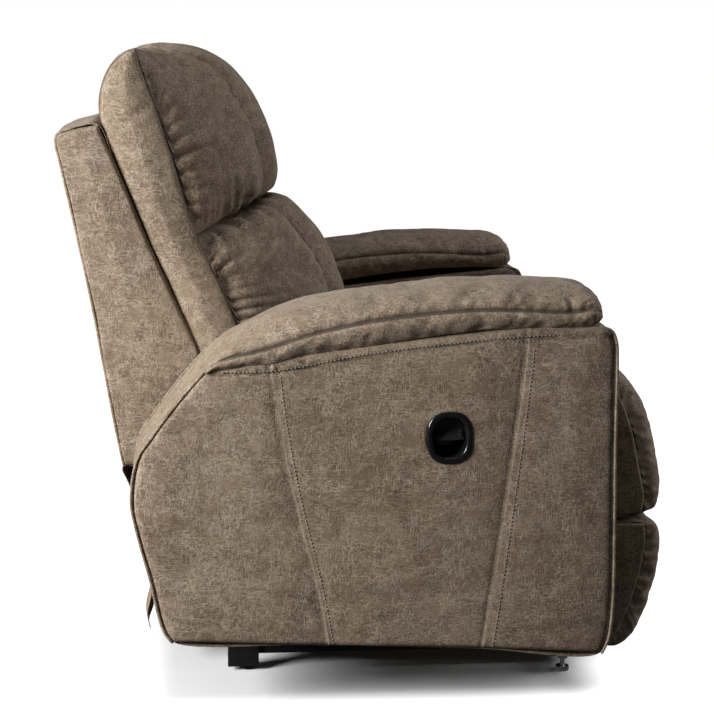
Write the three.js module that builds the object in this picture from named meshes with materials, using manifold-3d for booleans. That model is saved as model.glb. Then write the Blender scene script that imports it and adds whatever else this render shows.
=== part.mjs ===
// Recliner armchair with a push-back seat and a cable-released legrest.
// Units are millimetres. +X is the chair's front, +Y the sitter's left, +Z up, floor at Z = 0.
// Flat pieces are drawn in X and Z and extruded along Y; steel parts stand side by side in layers.
import * as THREE from 'three';
import { mergeVertices } from 'three/addons/utils/BufferGeometryUtils.js';
import Module from 'manifold-3d';

const wasm = await Module();
wasm.setup();

// ---------------------------------------------------------------- driving dimensions

const SEAT_SPACE = 560;        // clear width between the two arms
const ARM_WIDTH = 185;
const ARM_REAR = -377;         // rearmost point of an arm
const ARM_LENGTH = 743;
const ARM_BOTTOM_REAR = 118;   // the arm's lower edge drops a little towards the front
const ARM_BOTTOM_FRONT = 84;
const ARM_SHOULDER = 603;      // top of the arm panel at its front
const ARM_TAIL = 540;          // top of the arm panel at its rear
const PAD_THICKNESS = 66;
const PAD_OVERHANG = 3.5;      // pad proud of the arm's outer face
const COVER = 9;               // upholstered board and cloth
const PLYWOOD = 15;
const SIDE_CLEARANCE = 15;     // moving seat to arm, each side
const TOUCH = 0.4;             // gap between pieces that rest on each other

const STEEL = 5;               // thickness of rails, plates and links
const LAYER = 7.5;             // pitch of the side-by-side steel layers
const PIN = 5;                 // pivot pin radius
const RUNNING = 0.6;           // radial clearance of a pin in its hole
const LINK = 22;               // width of a link

const RAIL_BOTTOM = 28;
const RAIL_TOP = 90;
const RAIL_INSET = 18;         // base rail to the arm's inner face
const TUBE = 25;               // square crossbar
const TUBE_WALL = 2;
const SWING_LENGTH = 120;      // links that carry the seat
const SWING_LEAN = 25;         // degrees, leaning back at rest
const SWING_FOOT = 72;         // height of the swing links' lower pivots
const WHEEL = 12.5;            // radius of a rear roller
const WHEEL_WIDTH = 9;
const STUD = 4;                // radius of a levelling foot's stud
const FOOT_DISC = 11;
const FOOT_DISC_HEIGHT = 7;
const NUT = 9;                 // corner radius of the levelling nut
const TAB = 50;                // foot bracket, outwards from the rail

const SEAT_BOARD = 347;        // underside of the wooden seat frame
const SEAT_RAIL = 30;          // height of the wooden seat frame
const RAIL_WIDTH = 22;
const SEAT_CUSHION = 123;      // thickness
const SPRING_WIRE = 1.6;       // radius
const RECLINE_PIVOT = [-220, 330];

const CRANK = 215;             // legrest crank, pivot to knee
const CRANK_ANGLE = -103;      // degrees from +X at rest
const CARRIER = 257.7;         // legrest carrier, knee to legrest pivot
const CARRIER_ANGLE = 39.7;
const TWIN_OFFSET = 50;        // second crank behind the first, measured along the carrier
const CONTROL_ON_CRANK = 60;   // control link's pivots, from the knee and from the legrest pivot
const CONTROL_ON_LEGREST = 51.5;
const CONTROL_ANGLE = 71;
const CONTROL_SLACK = 3;       // oversize of the control link's last hole
const BOARD = 14;              // legrest board thickness
const LEGREST_TOP = 489;
const LEGREST_SPLIT = 244;     // fold between the two legrest pads
const LEGREST_BOTTOM = 15;
const LEGREST_DEPTH = 83;      // pads in front of the board

const SHELL_TOP = 880;         // rear corner of the outer back
const SHELL_TOP_X = -495.7;
const SHELL_BOTTOM = 352;
const SHELL_BOTTOM_X = -398;
const BACK_TOP = 1035;
const BACK_CROWN = 0.7;        // how far the cushion fronts fall back at their sides

const CUP = [107, 436];        // centre of the release cup in X and Z
const CUP_RX = 27;             // half width and half height of the cup's inside
const CUP_RZ = 33;
const CUP_WALL = 2.5;
const CUP_LIP = 9;
const CUP_DEPTH = 45;
const LEVER = 4;
const CABLE = 3;               // radius

// ---------------------------------------------------------------- derived sizes

const half = SEAT_SPACE / 2;
const outer = half + ARM_WIDTH;
const body = half - SIDE_CLEARANCE;
const armFront = ARM_REAR + ARM_LENGTH;
const railFace = half - RAIL_INSET;
const railRear = ARM_REAR + 156;
const railFront = armFront - 21;
const seatTop = SEAT_BOARD + SEAT_RAIL + 6 + SEAT_CUSHION;
const seatFront = armFront + 18;
const hole = PIN + RUNNING;
const bottomAt = (x) => {
  const along = (x - ARM_REAR - 59) / (ARM_LENGTH - 73);
  return THREE.MathUtils.lerp(ARM_BOTTOM_REAR, ARM_BOTTOM_FRONT, along);
};

/** Point at a distance and an angle in degrees from an origin. */
const polar = ([x, z], length, degrees) => {
  const a = THREE.MathUtils.degToRad(degrees);
  return [x + length * Math.cos(a), z + length * Math.sin(a)];
};

/** Y range of steel layer n on the +Y side, counted inwards from the base rail. */
const layer = (n) => [railFace - n * LAYER - STEEL, railFace - n * LAYER];

const legrestPivot = [armFront + 2, LEGREST_TOP - 204];
const knee = polar(legrestPivot, -CARRIER, CARRIER_ANGLE);
const crankPivot = polar(knee, -CRANK, CRANK_ANGLE);
const twinKnee = polar(knee, -TWIN_OFFSET, CARRIER_ANGLE);
const twinPivot = polar(crankPivot, -TWIN_OFFSET, CARRIER_ANGLE);
const controlStart = polar(knee, -CONTROL_ON_CRANK, CRANK_ANGLE);
const controlEnd = polar(legrestPivot, CONTROL_ON_LEGREST, CONTROL_ANGLE);
const swingFeet = [[ARM_REAR + 267, SWING_FOOT], [armFront - 236, SWING_FOOT]];
const swingHeads = swingFeet.map((p) => polar(p, SWING_LENGTH, 90 + SWING_LEAN));
const boardX = armFront + 32;

// ---------------------------------------------------------------- helpers

/** Turns a closed outline [[x, z], ...] into a shape. */
const outline = (points) => new THREE.Shape(points.map(([x, z]) => new THREE.Vector2(x, z)));

/** Smooth curve through [x, z] points, as a list of count + 1 points. */
const smooth = (points, count) =>
  new THREE.SplineCurve(points.map(([x, z]) => new THREE.Vector2(x, z)))
    .getPoints(count)
    .map((p) => [p.x, p.y]);

/** Moves every side of a counter-clockwise outline inwards by d, keeping its corners mitred. */
function inset(points, d) {
  const n = points.length;
  return points.map(([x, z], i) => {
    const before = points[(i + n - 1) % n];
    const after = points[(i + 1) % n];
    const u = new THREE.Vector2(x - before[0], z - before[1]).normalize();
    const v = new THREE.Vector2(after[0] - x, after[1] - z).normalize();
    const k = d / (1 + u.dot(v));
    return [x - (u.y + v.y) * k, z + (u.x + v.x) * k];
  });
}

const shift = (points, dx, dz) => points.map(([x, z]) => [x + dx, z + dz]);

/** A Y range on the +Y side, or its mirror image on the -Y side. */
const onSide = (side, [y0, y1]) => (side > 0 ? [y0, y1] : [-y1, -y0]);

/** Extrudes a shape drawn in X and Z between two Y values. */
function slab(shape, [y0, y1], steps = 1) {
  const settings = { depth: y1 - y0, bevelEnabled: false, steps, curveSegments: 8 };
  const g = new THREE.ExtrudeGeometry(shape, settings);
  g.rotateX(Math.PI / 2);
  g.translate(0, y1, 0);
  return g;
}

/** A box from its lowest to its highest corner. */
function box([x0, y0, z0], [x1, y1, z1]) {
  const g = new THREE.BoxGeometry(x1 - x0, y1 - y0, z1 - z0);
  g.translate((x0 + x1) / 2, (y0 + y1) / 2, (z0 + z1) / 2);
  return g;
}

/** A round bar along Y, at a place in X and Z. */
function pin([x, z], radius, [y0, y1], sides = 16) {
  const g = new THREE.CylinderGeometry(radius, radius, y1 - y0, sides);
  g.translate(x, (y0 + y1) / 2, z);
  return g;
}

/** A round bar along Z, at a place in X and Y. */
function post([x, y], radius, [z0, z1], sides = 16) {
  const g = new THREE.CylinderGeometry(radius, radius, z1 - z0, sides);
  g.rotateX(Math.PI / 2);
  g.translate(x, y, (z0 + z1) / 2);
  return g;
}

/** Bar with round ends between two points. */
function bar([x0, z0], [x1, z1], width) {
  const turn = Math.atan2(z1 - z0, x1 - x0);
  const shape = new THREE.Shape();
  shape.absarc(x1, z1, width / 2, turn - Math.PI / 2, turn + Math.PI / 2);
  shape.absarc(x0, z0, width / 2, turn + Math.PI / 2, turn + 1.5 * Math.PI);
  return shape;
}

/** Adds round holes to a shape. */
function drill(shape, holes) {
  for (const [[x, z], radius] of holes) {
    const path = new THREE.Path();
    path.absarc(x, z, radius, 0, 2 * Math.PI, true);
    shape.holes.push(path);
  }
  return shape;
}

/** Ellipse shape in X and Z. */
function ellipse([x, z], rx, rz) {
  const shape = new THREE.Shape();
  shape.absellipse(x, z, rx, rz, 0, 2 * Math.PI);
  return shape;
}

/** A tube of round section along a smooth path of [x, y, z] points. */
function wire(points, radius, sides, steps) {
  const path = new THREE.CatmullRomCurve3(points.map((p) => new THREE.Vector3(...p)));
  const section = new THREE.Shape();
  for (let i = 0; i < sides; i += 1) {
    const a = (2 * Math.PI * i) / sides;
    section[i ? 'lineTo' : 'moveTo'](radius * Math.cos(a), radius * Math.sin(a));
  }
  return new THREE.ExtrudeGeometry(section, { steps, extrudePath: path, bevelEnabled: false });
}

function toSolid(geometry) {
  const bare = geometry.clone();
  bare.deleteAttribute('normal');
  bare.deleteAttribute('uv');
  const merged = mergeVertices(bare, 1e-4);
  const vertProperties = new Float32Array(merged.attributes.position.array);
  const triVerts = new Uint32Array(merged.index.array);
  return new wasm.Manifold(new wasm.Mesh({ numProp: 3, vertProperties, triVerts }));
}

function toGeometry(solid) {
  const mesh = solid.getMesh();
  const g = new THREE.BufferGeometry();
  g.setAttribute('position', new THREE.BufferAttribute(mesh.vertProperties, 3));
  g.setIndex(new THREE.BufferAttribute(mesh.triVerts, 1));
  g.computeVertexNormals();
  return g;
}

const join = (...pieces) => toGeometry(pieces.map(toSolid).reduce((sum, s) => sum.add(s)));
const cut = (piece, ...tools) =>
  toGeometry(tools.reduce((rest, t) => rest.subtract(toSolid(t)), toSolid(piece)));

/** Moves each vertex of a geometry by a rule on its x, y and z. */
function bend(geometry, rule) {
  const p = geometry.attributes.position;
  for (let i = 0; i < p.count; i += 1) {
    p.setXYZ(i, ...rule(p.getX(i), p.getY(i), p.getZ(i)));
  }
  return geometry;
}

// ---------------------------------------------------------------- materials

const finish = (color, roughness, metalness = 0) =>
  new THREE.MeshStandardMaterial({ color, roughness, metalness });
const suede = () => finish(0x7b6d5e, 0.85);
const lining = () => finish(0x2a2724, 0.95);
const wood = () => finish(0xb08a5a, 0.7);
const black = () => finish(0x151515, 0.45, 0.6);
const zinc = () => finish(0xb9bcc0, 0.35, 1);
const plastic = () => finish(0x141517, 0.35);
const springSteel = () => finish(0x54585c, 0.4, 1);

const chair = new THREE.Group();
chair.name = 'recliner_armchair';

/** Adds a named group, as one sub-assembly of the chair. */
function assembly() {
  const group = new THREE.Group();
  chair.add(group);
  return (name, geometry, material) => {
    const mesh = new THREE.Mesh(geometry, material);
    mesh.name = name;
    group.add(mesh);
  };
}

const SIDES = [['right', -1], ['left', 1]];

// ---------------------------------------------------------------- base

/** Side rail with its foot bracket at the front, drilled for the swing links and the foot. */
function baseRail(side, foot) {
  const low = [[railRear, RAIL_BOTTOM], [railFront, RAIL_BOTTOM]];
  const high = [[railFront, RAIL_TOP], [railRear, RAIL_TOP]];
  const plate = drill(outline([...low, ...high]), swingFeet.map((p) => [p, hole]));
  const [y0, y1] = onSide(side, [railFace - STEEL, railFace + TAB]);
  const tab = box([foot[0] - 22, y0, RAIL_BOTTOM], [foot[0] + 22, y1, RAIL_BOTTOM + STEEL]);
  const bore = post(foot, STUD + RUNNING, [RAIL_BOTTOM - 1, RAIL_BOTTOM + STEEL + 1]);
  return cut(join(slab(plate, onSide(side, layer(0))), tab), bore);
}

/** Square tube between the rails. */
function crossbar(x) {
  const reach = railFace - STEEL - TOUCH;
  const low = RAIL_BOTTOM + 2;
  const square = (d) => [
    [x + d, low + d],
    [x + TUBE - d, low + d],
    [x + TUBE - d, low + TUBE - d],
    [x + d, low + TUBE - d],
  ];
  const shape = outline(square(0));
  shape.holes.push(outline(square(TUBE_WALL)));
  return slab(shape, [-reach, reach]);
}

/** Fork around the rail's rear end, with the roller's axle through its two cheeks. */
function rollerBracket(side, [x, z]) {
  const middle = railFace - STEEL / 2;
  const reach = STEEL / 2 + 6;
  const [y0, y1] = onSide(side, [middle - reach, middle + reach]);
  const block = box([railRear - 7, y0, 8], [x + 18, y1, RAIL_BOTTOM + 28]);
  const slot = box([railRear - 4, y0 + 3, 0], [x + 30, y1 - 3, RAIL_BOTTOM + 40]);
  return join(cut(block, slot), pin([x, z], 3, [y0, y1]));
}

/** Roller with a rounded tread, turning on the fork's axle. */
function roller(side, [x, z]) {
  const w = WHEEL_WIDTH / 2;
  const bore = 3.4;
  const tread = [[WHEEL - 2, -w], [WHEEL, -w + 2], [WHEEL, w - 2], [WHEEL - 2, w]];
  const profile = [[bore, -w], ...tread, [bore, w], [bore, -w]];
  const g = new THREE.LatheGeometry(profile.map(([r, y]) => new THREE.Vector2(r, y)), 24);
  g.translate(x, side * (railFace - STEEL / 2), z);
  return g;
}

/** Disc and threaded stud of a levelling foot. */
const levellingFoot = (foot) =>
  join(
    post(foot, FOOT_DISC, [0, FOOT_DISC_HEIGHT], 24),
    post(foot, STUD, [FOOT_DISC_HEIGHT - 1, RAIL_BOTTOM + 24]),
  );

/** Hexagon nut under the foot bracket. */
const footNut = (foot) =>
  cut(
    post(foot, NUT, [RAIL_BOTTOM - TOUCH - 7, RAIL_BOTTOM - TOUCH], 6),
    post(foot, STUD + RUNNING, [0, RAIL_BOTTOM + 1]),
  );

/** Angle that ties an arm to the base rail. */
function armTie(side) {
  const near = railFace + TOUCH;
  const [y0, y1] = onSide(side, [near, half + 45]);
  const [v0, v1] = onSide(side, [near, near + 3]);
  const top = bottomAt(0) - 2;
  return join(box([-60, y0, top - 3], [0, y1, top]), box([-60, v0, 40], [0, v1, top]));
}

const base = assembly();
for (const [name, side] of SIDES) {
  const foot = [armFront - 39, side * (railFace + 36)];
  const axle = [railRear + 26, WHEEL];
  base(`base_rail_${name}`, baseRail(side, foot), black());
  base(`roller_bracket_${name}`, rollerBracket(side, axle), black());
  base(`roller_wheel_${name}`, roller(side, axle), plastic());
  base(`levelling_foot_${name}`, levellingFoot(foot), black());
  base(`foot_nut_${name}`, footNut(foot), zinc());
  base(`arm_tie_${name}`, armTie(side), black());
}
base('crossbar_front', crossbar(railFront - TUBE - 2), black());
base('crossbar_rear', crossbar(railRear + 50), black());

// ---------------------------------------------------------------- arms

/** Top edge of an arm panel from rear to front. */
const armTop = smooth([
  [ARM_REAR + 113, ARM_TAIL],
  [ARM_REAR + 359, ARM_SHOULDER - 28],
  [armFront - 213, ARM_SHOULDER - 7],
  [armFront - 39, ARM_SHOULDER],
], 8);

/** Side view of an arm, counter-clockwise from the bottom rear. */
const armOutline = [
  [ARM_REAR + 59, ARM_BOTTOM_REAR],
  ...smooth([[armFront - 14, ARM_BOTTOM_FRONT], [armFront - 3, ARM_BOTTOM_FRONT + 9], [armFront, 110]], 3),
  ...smooth([
    [armFront, ARM_SHOULDER - 62],
    [armFront - 6, ARM_SHOULDER - 28],
    [armFront - 19, ARM_SHOULDER - 9],
  ], 3),
  ...armTop.toReversed(),
  [ARM_REAR + 30, 439],
  ...smooth([[ARM_REAR + 11, 411], [ARM_REAR + 2, 368], [ARM_REAR, 340], [ARM_REAR + 7, 301]], 5),
  [ARM_REAR + 49, ARM_BOTTOM_REAR + 16],
];

/** Upholstered hollow arm, open underneath. */
function armCover(side) {
  const depth = onSide(side, [half + COVER, outer - COVER]);
  const inside = inset(armOutline, COVER);
  const cuts = [slab(outline(inside), depth), slab(outline(shift(inside, 0, -COVER - 3)), depth)];
  if (side < 0) {
    const mouth = ellipse(CUP, CUP_RX + CUP_WALL + TOUCH, CUP_RZ + CUP_WALL + TOUCH);
    cuts.push(slab(mouth, onSide(side, [outer - COVER - 1, outer + 1])));
  }
  return cut(slab(outline(armOutline), onSide(side, [half, outer])), ...cuts);
}

/** Plywood board inside an arm, against its inner wall. */
const armBoard = (side) =>
  slab(
    outline(inset(armOutline, COVER + 3)),
    onSide(side, [half + COVER + TOUCH, half + COVER + TOUCH + PLYWOOD]),
  );

/** Height of the arm's top edge at x, straight between the points that draw it. */
function topAt(x) {
  const next = armTop.findIndex(([ax], i) => i > 0 && (ax >= x || i === armTop.length - 1));
  const [x0, z0] = armTop[next - 1];
  const [x1, z1] = armTop[next];
  return z0 + ((z1 - z0) * (x - x0)) / (x1 - x0);
}

/** Stuffed pad along the top of an arm, thinner towards its two long edges. */
function armPad(side) {
  const floor = shift(armTop, 0, TOUCH);
  const crest = smooth([
    [armFront - 30, ARM_SHOULDER + 6],
    [armFront - 26, ARM_SHOULDER + 34],
    [armFront - 61, ARM_SHOULDER + PAD_THICKNESS - 9],
    [armFront - 174, ARM_SHOULDER + PAD_THICKNESS],
    [ARM_REAR + 453, ARM_SHOULDER + PAD_THICKNESS - 6],
    [ARM_REAR + 322, ARM_SHOULDER + PAD_THICKNESS - 25],
    [ARM_REAR + 228, ARM_SHOULDER + PAD_THICKNESS - 46],
    [ARM_REAR + 167, ARM_SHOULDER + PAD_THICKNESS - 80],
    [ARM_REAR + 118, ARM_TAIL + 16],
  ], 20);
  const g = slab(outline([...floor, ...crest]), onSide(side, [half + 1, outer + PAD_OVERHANG]), 8);
  const middle = side * (half + outer) / 2;
  const width = (ARM_WIDTH + PAD_OVERHANG) / 2;
  return bend(g, (x, y, z) => {
    const edge = Math.abs((y - middle) / width) ** 4;
    const above = Math.max(0, z - topAt(x) - 12);
    return [x, y, z - above * 0.45 * edge];
  });
}

/** Cup with a raised lip, closed at its inner end. */
function releaseCup() {
  const grow = (d, [y0, y1]) => slab(ellipse(CUP, CUP_RX + d, CUP_RZ + d), [-y1, -y0]);
  const lip = grow(CUP_LIP, [outer + TOUCH, outer + 3]);
  const tube = grow(CUP_WALL, [outer + 3 - CUP_DEPTH, outer + 3]);
  const inside = grow(0, [outer + 3 - CUP_DEPTH + CUP_WALL, outer + TOUCH]);
  const mouth = grow(-2, [outer, outer + 4]);
  return cut(join(lip, tube), inside, mouth);
}

/** Finger flap across the upper half of the cup, on two short trunnions. */
function releaseLever() {
  const flap = new THREE.Shape();
  const dip = 0.17;
  flap.absellipse(CUP[0], CUP[1], CUP_RX - 4, CUP_RZ - 4, -dip, Math.PI + dip);
  const plate = slab(flap, [-outer + 13, -outer + 13 + LEVER]);
  const trunnion = new THREE.CylinderGeometry(2.5, 2.5, 2 * (CUP_RX - 9), 12);
  trunnion.rotateZ(Math.PI / 2);
  trunnion.translate(CUP[0], -outer + 15, CUP[1] + 19);
  return join(plate, trunnion);
}

const latchTab = CUP[0] + 80;
const latchCable = [-(railFace + 18), 65];
const cableRoute = [
  [CUP[0], -(outer - CUP_DEPTH - 8), CUP[1] - 6],
  [CUP[0], -(outer - CUP_DEPTH - 22), CUP[1] - 40],
  [CUP[0] + 2, -(half + 100), CUP[1] - 130],
  [CUP[0] + 8, -(half + 62), CUP[1] - 250],
  [CUP[0] + 11, -(half + 50), 100],
  [CUP[0] + 22, -(half + 22), 76],
  [CUP[0] + 50, latchCable[0] - 4, latchCable[1] + 2],
  [latchTab - TOUCH, ...latchCable],
];

/** Angle on the rail that stops the cable's sheath. */
function latchBracket() {
  const near = -(railFace + TOUCH);
  const foot = box([latchTab, near - 3, 42], [latchTab + 42, near, 86]);
  const tab = box([latchTab, near - 30, 50], [latchTab + 3, near, 80]);
  const slot = new THREE.CylinderGeometry(1.4, 1.4, 20, 12);
  slot.rotateZ(Math.PI / 2);
  slot.translate(latchTab, ...latchCable);
  return cut(join(foot, tab), slot);
}

const arms = assembly();
for (const [name, side] of SIDES) {
  arms(`arm_cover_${name}`, armCover(side), suede());
  arms(`arm_board_${name}`, armBoard(side), wood());
  arms(`arm_pad_${name}`, armPad(side), suede());
}
arms('release_cup', releaseCup(), plastic());
arms('release_lever', releaseLever(), plastic());
arms('release_cable', wire(cableRoute, CABLE, 8, 36), plastic());
arms('latch_bracket', latchBracket(), black());

/** Wooden board that joins the arms at the rear. */
const stretcherX = ARM_REAR + 37;
const stretcherEnd = half - TOUCH;
const stretcherFar = [stretcherX + RAIL_WIDTH, stretcherEnd, 245];
arms('rear_stretcher', box([stretcherX, -stretcherEnd, 150], stretcherFar), wood());

/** Loose cloth that closes the rear below the outer back. */
function rearSkirt() {
  const drop = smooth([
    [SHELL_BOTTOM_X + 5, SHELL_BOTTOM - 14],
    [stretcherX - 36, 300],
    [stretcherX - 12, 220],
    [stretcherX - 9, 140],
    [stretcherX - 24, 72],
  ], 10);
  return slab(outline([...drop, ...shift(drop, 3, 0).toReversed()]), [-body + 8, body - 8]);
}
arms('rear_skirt', rearSkirt(), suede());

// ---------------------------------------------------------------- swing links

/** Link from the base rail to the seat plate, with a pin out through each. */
function swingLink(side, foot, head) {
  const low = onSide(side, [layer(1)[0], railFace + 3]);
  const high = onSide(side, [layer(2)[0] - 1.5, layer(1)[1]]);
  const strip = slab(bar(foot, head, LINK), onSide(side, layer(1)));
  return join(strip, pin(foot, PIN, low), pin(head, PIN, high));
}

const swing = assembly();
for (const [name, side] of SIDES) {
  swing(`swing_link_rear_${name}`, swingLink(side, swingFeet[0], swingHeads[0]), black());
  swing(`swing_link_front_${name}`, swingLink(side, swingFeet[1], swingHeads[1]), black());
}

// ---------------------------------------------------------------- seat

/** Steel side plate under the seat, drilled for every pivot that the seat carries. */
function seatPlate(side) {
  const top = SEAT_BOARD - 2;
  const low = swingHeads[0][1] - 20;
  const plate = outline([
    [RECLINE_PIVOT[0] - 20, top - 35],
    [swingHeads[0][0] - 28, low],
    [swingHeads[1][0] + 32, low],
    [crankPivot[0] + 30, crankPivot[1] - 30],
    [crankPivot[0] + 30, top],
    [RECLINE_PIVOT[0] - 20, top],
  ]);
  const holes = [...swingHeads, RECLINE_PIVOT, crankPivot, twinPivot].map((p) => [p, hole]);
  return slab(drill(plate, holes), onSide(side, layer(2)));
}

const seatRear = RECLINE_PIVOT[0] + 22;
const railX = armFront + 2;
const seatLevel = [SEAT_BOARD, SEAT_BOARD + SEAT_RAIL];

/** Wooden rail across the seat, between two X values. */
const crossRail = (x0, x1) => box([x0, -body + 3, seatLevel[0]], [x1, body - 3, seatLevel[1]]);

/** Wooden rail along one side of the seat. */
function sideRail(side) {
  const [y0, y1] = onSide(side, [body - 40, body - 3]);
  return box(
    [seatRear + RAIL_WIDTH + TOUCH, y0, seatLevel[0]],
    [railX - RAIL_WIDTH - TOUCH, y1, seatLevel[1]],
  );
}

/** Sinuous spring laid on the front and rear rails: a sine wave along X. */
function seatSpring(y) {
  const waves = 8;
  const z = seatLevel[1] + TOUCH + SPRING_WIRE;
  const count = waves * 4;
  const length = railX - seatRear - 16;
  const points = [];
  for (let i = 0; i <= count; i += 1) {
    points.push([seatRear + 8 + (length * i) / count, y + 26 * Math.sin((Math.PI / 2) * i), z]);
  }
  return wire(points, SPRING_WIRE, 5, waves * 6);
}

/** Seat cushion with a rolled front edge, crowned across its width. */
function seatCushion() {
  const floor = seatTop - SEAT_CUSHION;
  const roll = smooth([
    [seatFront - 14, floor],
    [seatFront - 8, floor + 30],
    [seatFront, seatTop - 40],
    [seatFront - 6, seatTop - 18],
    [seatFront - 26, seatTop - 8],
  ], 8);
  const shape = outline([[seatRear, floor], ...roll, [60, seatTop - 8], [seatRear, seatTop - 8]]);
  return bend(slab(shape, [-body + 2, body - 2], 8), (x, y, z) => {
    const crown = 8 * (1 - (y / body) ** 2);
    return [x, y, z > floor + 60 ? z + crown : z];
  });
}

const seat = assembly();
for (const [name, side] of SIDES) {
  seat(`seat_plate_${name}`, seatPlate(side), black());
  seat(`seat_rail_${name}`, sideRail(side), wood());
}
seat('seat_rail_front', crossRail(railX - RAIL_WIDTH, railX), wood());
seat('seat_rail_rear', crossRail(seatRear, seatRear + RAIL_WIDTH), wood());
['a', 'b', 'c'].forEach((name, i) => {
  seat(`seat_spring_${name}`, seatSpring((i - 1) * body * 0.58), springSteel());
});
seat('seat_cushion', seatCushion(), suede());

// ---------------------------------------------------------------- back

const frontLow = [-262, 517];
const frontHigh = [SHELL_TOP_X + 75, SHELL_TOP + 16];
const frontSlope = (frontHigh[0] - frontLow[0]) / (frontHigh[1] - frontLow[1]);
/** X of the outer back's front edge at a height, where the cushions start. */
const cushionRear = (z) => frontLow[0] + frontSlope * (Math.min(z, frontHigh[1]) - frontLow[1]) + 2;

/** Side view of the outer back, counter-clockwise from its bottom rear. */
const shellOutline = [
  [SHELL_BOTTOM_X, SHELL_BOTTOM],
  [SHELL_BOTTOM_X + 78, SHELL_BOTTOM - 6],
  [RECLINE_PIVOT[0] - 50, SHELL_BOTTOM + 8],
  frontLow,
  frontHigh,
  [SHELL_TOP_X + 60, SHELL_TOP + 25],
  [SHELL_TOP_X + 34, SHELL_TOP + 20],
  [SHELL_TOP_X + 8, SHELL_TOP + 11],
  [SHELL_TOP_X, SHELL_TOP],
];

/** Upholstered outer back: rear, sides, top and bottom, open towards the cushions. */
function backShell() {
  const openAt = [2, 3, 4];
  const hollow = inset(shellOutline, COVER);
  openAt.forEach((i) => {
    hollow[i][0] += 60;
  });
  const inside = slab(outline(hollow), [-body + COVER, body - COVER]);
  return cut(slab(outline(shellOutline), [-body, body]), inside);
}

/** Wooden back frame: two posts joined by three rails. */
function backFrame() {
  const foot = [SHELL_BOTTOM_X + 98, SHELL_BOTTOM + 33];
  const head = [SHELL_TOP_X + 62, SHELL_TOP - 14];
  const along = (t) => [foot[0] + (head[0] - foot[0]) * t, foot[1] + (head[1] - foot[1]) * t];
  const face = layer(3)[0] - TOUCH;
  const posts = SIDES.map(([, side]) => slab(bar(foot, head, 36), onSide(side, [face - 24, face])));
  const rails = [0.06, 0.5, 0.94].map((t) => {
    const section = bar(along(t - 0.03), along(t + 0.03), 20);
    return slab(section, [-face + 10, face - 10]);
  });
  return join(...posts, ...rails);
}

/** Bracket from the recline pivot up to a back post. */
function backBracket(side) {
  const top = [SHELL_BOTTOM_X + 98, SHELL_BOTTOM + 98];
  const plate = slab(bar(RECLINE_PIVOT, top, LINK + 4), onSide(side, layer(3)));
  return join(plate, pin(RECLINE_PIVOT, PIN, onSide(side, [layer(3)[0], layer(2)[1] + 1.5])));
}

/** Back cushion: full depth in the middle, its front falling back towards both sides. */
function backCushion(front, low, high) {
  const rear = [[cushionRear(high), high], [cushionRear(low), low]];
  const g = slab(outline([...front, ...rear]), [-body + 3, body - 3], 10);
  return bend(g, (x, y, z) => {
    const back = cushionRear(z);
    const fall = 1 - BACK_CROWN * Math.abs(y / body) ** 2.2;
    return [x > back ? back + (x - back) * fall : x, y, z];
  });
}

const lumbarFront = smooth([
  [-30, seatTop + 10],
  [-11, seatTop + 60],
  [-12, seatTop + 105],
  [-34, seatTop + 155],
  [-70, seatTop + 200],
  [-130, seatTop + 244],
], 12);
const headFront = smooth([
  [-142, seatTop + 252],
  [-127, BACK_TOP - 221],
  [-131, BACK_TOP - 179],
  [-163, BACK_TOP - 96],
  [-211, BACK_TOP - 29],
  [-258, BACK_TOP - 4],
  [-312, BACK_TOP],
  [-364, BACK_TOP - 8],
  [-398, BACK_TOP - 30],
  [-416, BACK_TOP - 75],
  [-418, BACK_TOP - 120],
], 22);

const back = assembly();
back('back_shell', backShell(), suede());
back('back_frame', backFrame(), wood());
for (const [name, side] of SIDES) {
  back(`back_bracket_${name}`, backBracket(side), black());
}
back('lumbar_cushion', backCushion(lumbarFront, seatTop + 10, seatTop + 236), suede());
back('head_cushion', backCushion(headFront, seatTop + 248, SHELL_TOP + 14), suede());

// ---------------------------------------------------------------- legrest

/** Main crank: turns on the seat plate, carries the carrier at its knee and the control link. */
function crank(side) {
  const outward = onSide(side, [layer(3)[0], layer(2)[1] + 1.5]);
  const inward = onSide(side, [layer(4)[0] - 1.5, layer(3)[1]]);
  return join(
    slab(bar(crankPivot, knee, LINK), onSide(side, layer(3))),
    pin(crankPivot, PIN, outward),
    pin(knee, PIN, inward),
    pin(controlStart, PIN, inward),
  );
}

/** Second crank, parallel to the first, which keeps the carrier level with itself. */
function twinCrank(side) {
  const outward = onSide(side, [layer(3)[0], layer(2)[1] + 1.5]);
  const inward = onSide(side, [layer(4)[0] - 1.5, layer(3)[1]]);
  return join(
    slab(bar(twinPivot, twinKnee, LINK), onSide(side, layer(3))),
    pin(twinPivot, PIN, outward),
    pin(twinKnee, PIN, inward),
  );
}

/** Carrier from both knees to the legrest pivot. */
function carrier(side) {
  const shape = drill(bar(twinKnee, legrestPivot, LINK), [[twinKnee, hole], [knee, hole]]);
  const inward = onSide(side, [layer(5)[0] - 1.5, layer(4)[1]]);
  return join(slab(shape, onSide(side, layer(4))), pin(legrestPivot, PIN, inward));
}

/** Control link that turns the legrest as the crank opens. */
function controlLink(side) {
  const shape = drill(bar(controlStart, controlEnd, LINK - 4), [[controlStart, hole]]);
  const inward = onSide(side, [layer(5)[0] - 1.5, layer(4)[1]]);
  return join(slab(shape, onSide(side, layer(4))), pin(controlEnd, PIN - 1, inward));
}

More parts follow.
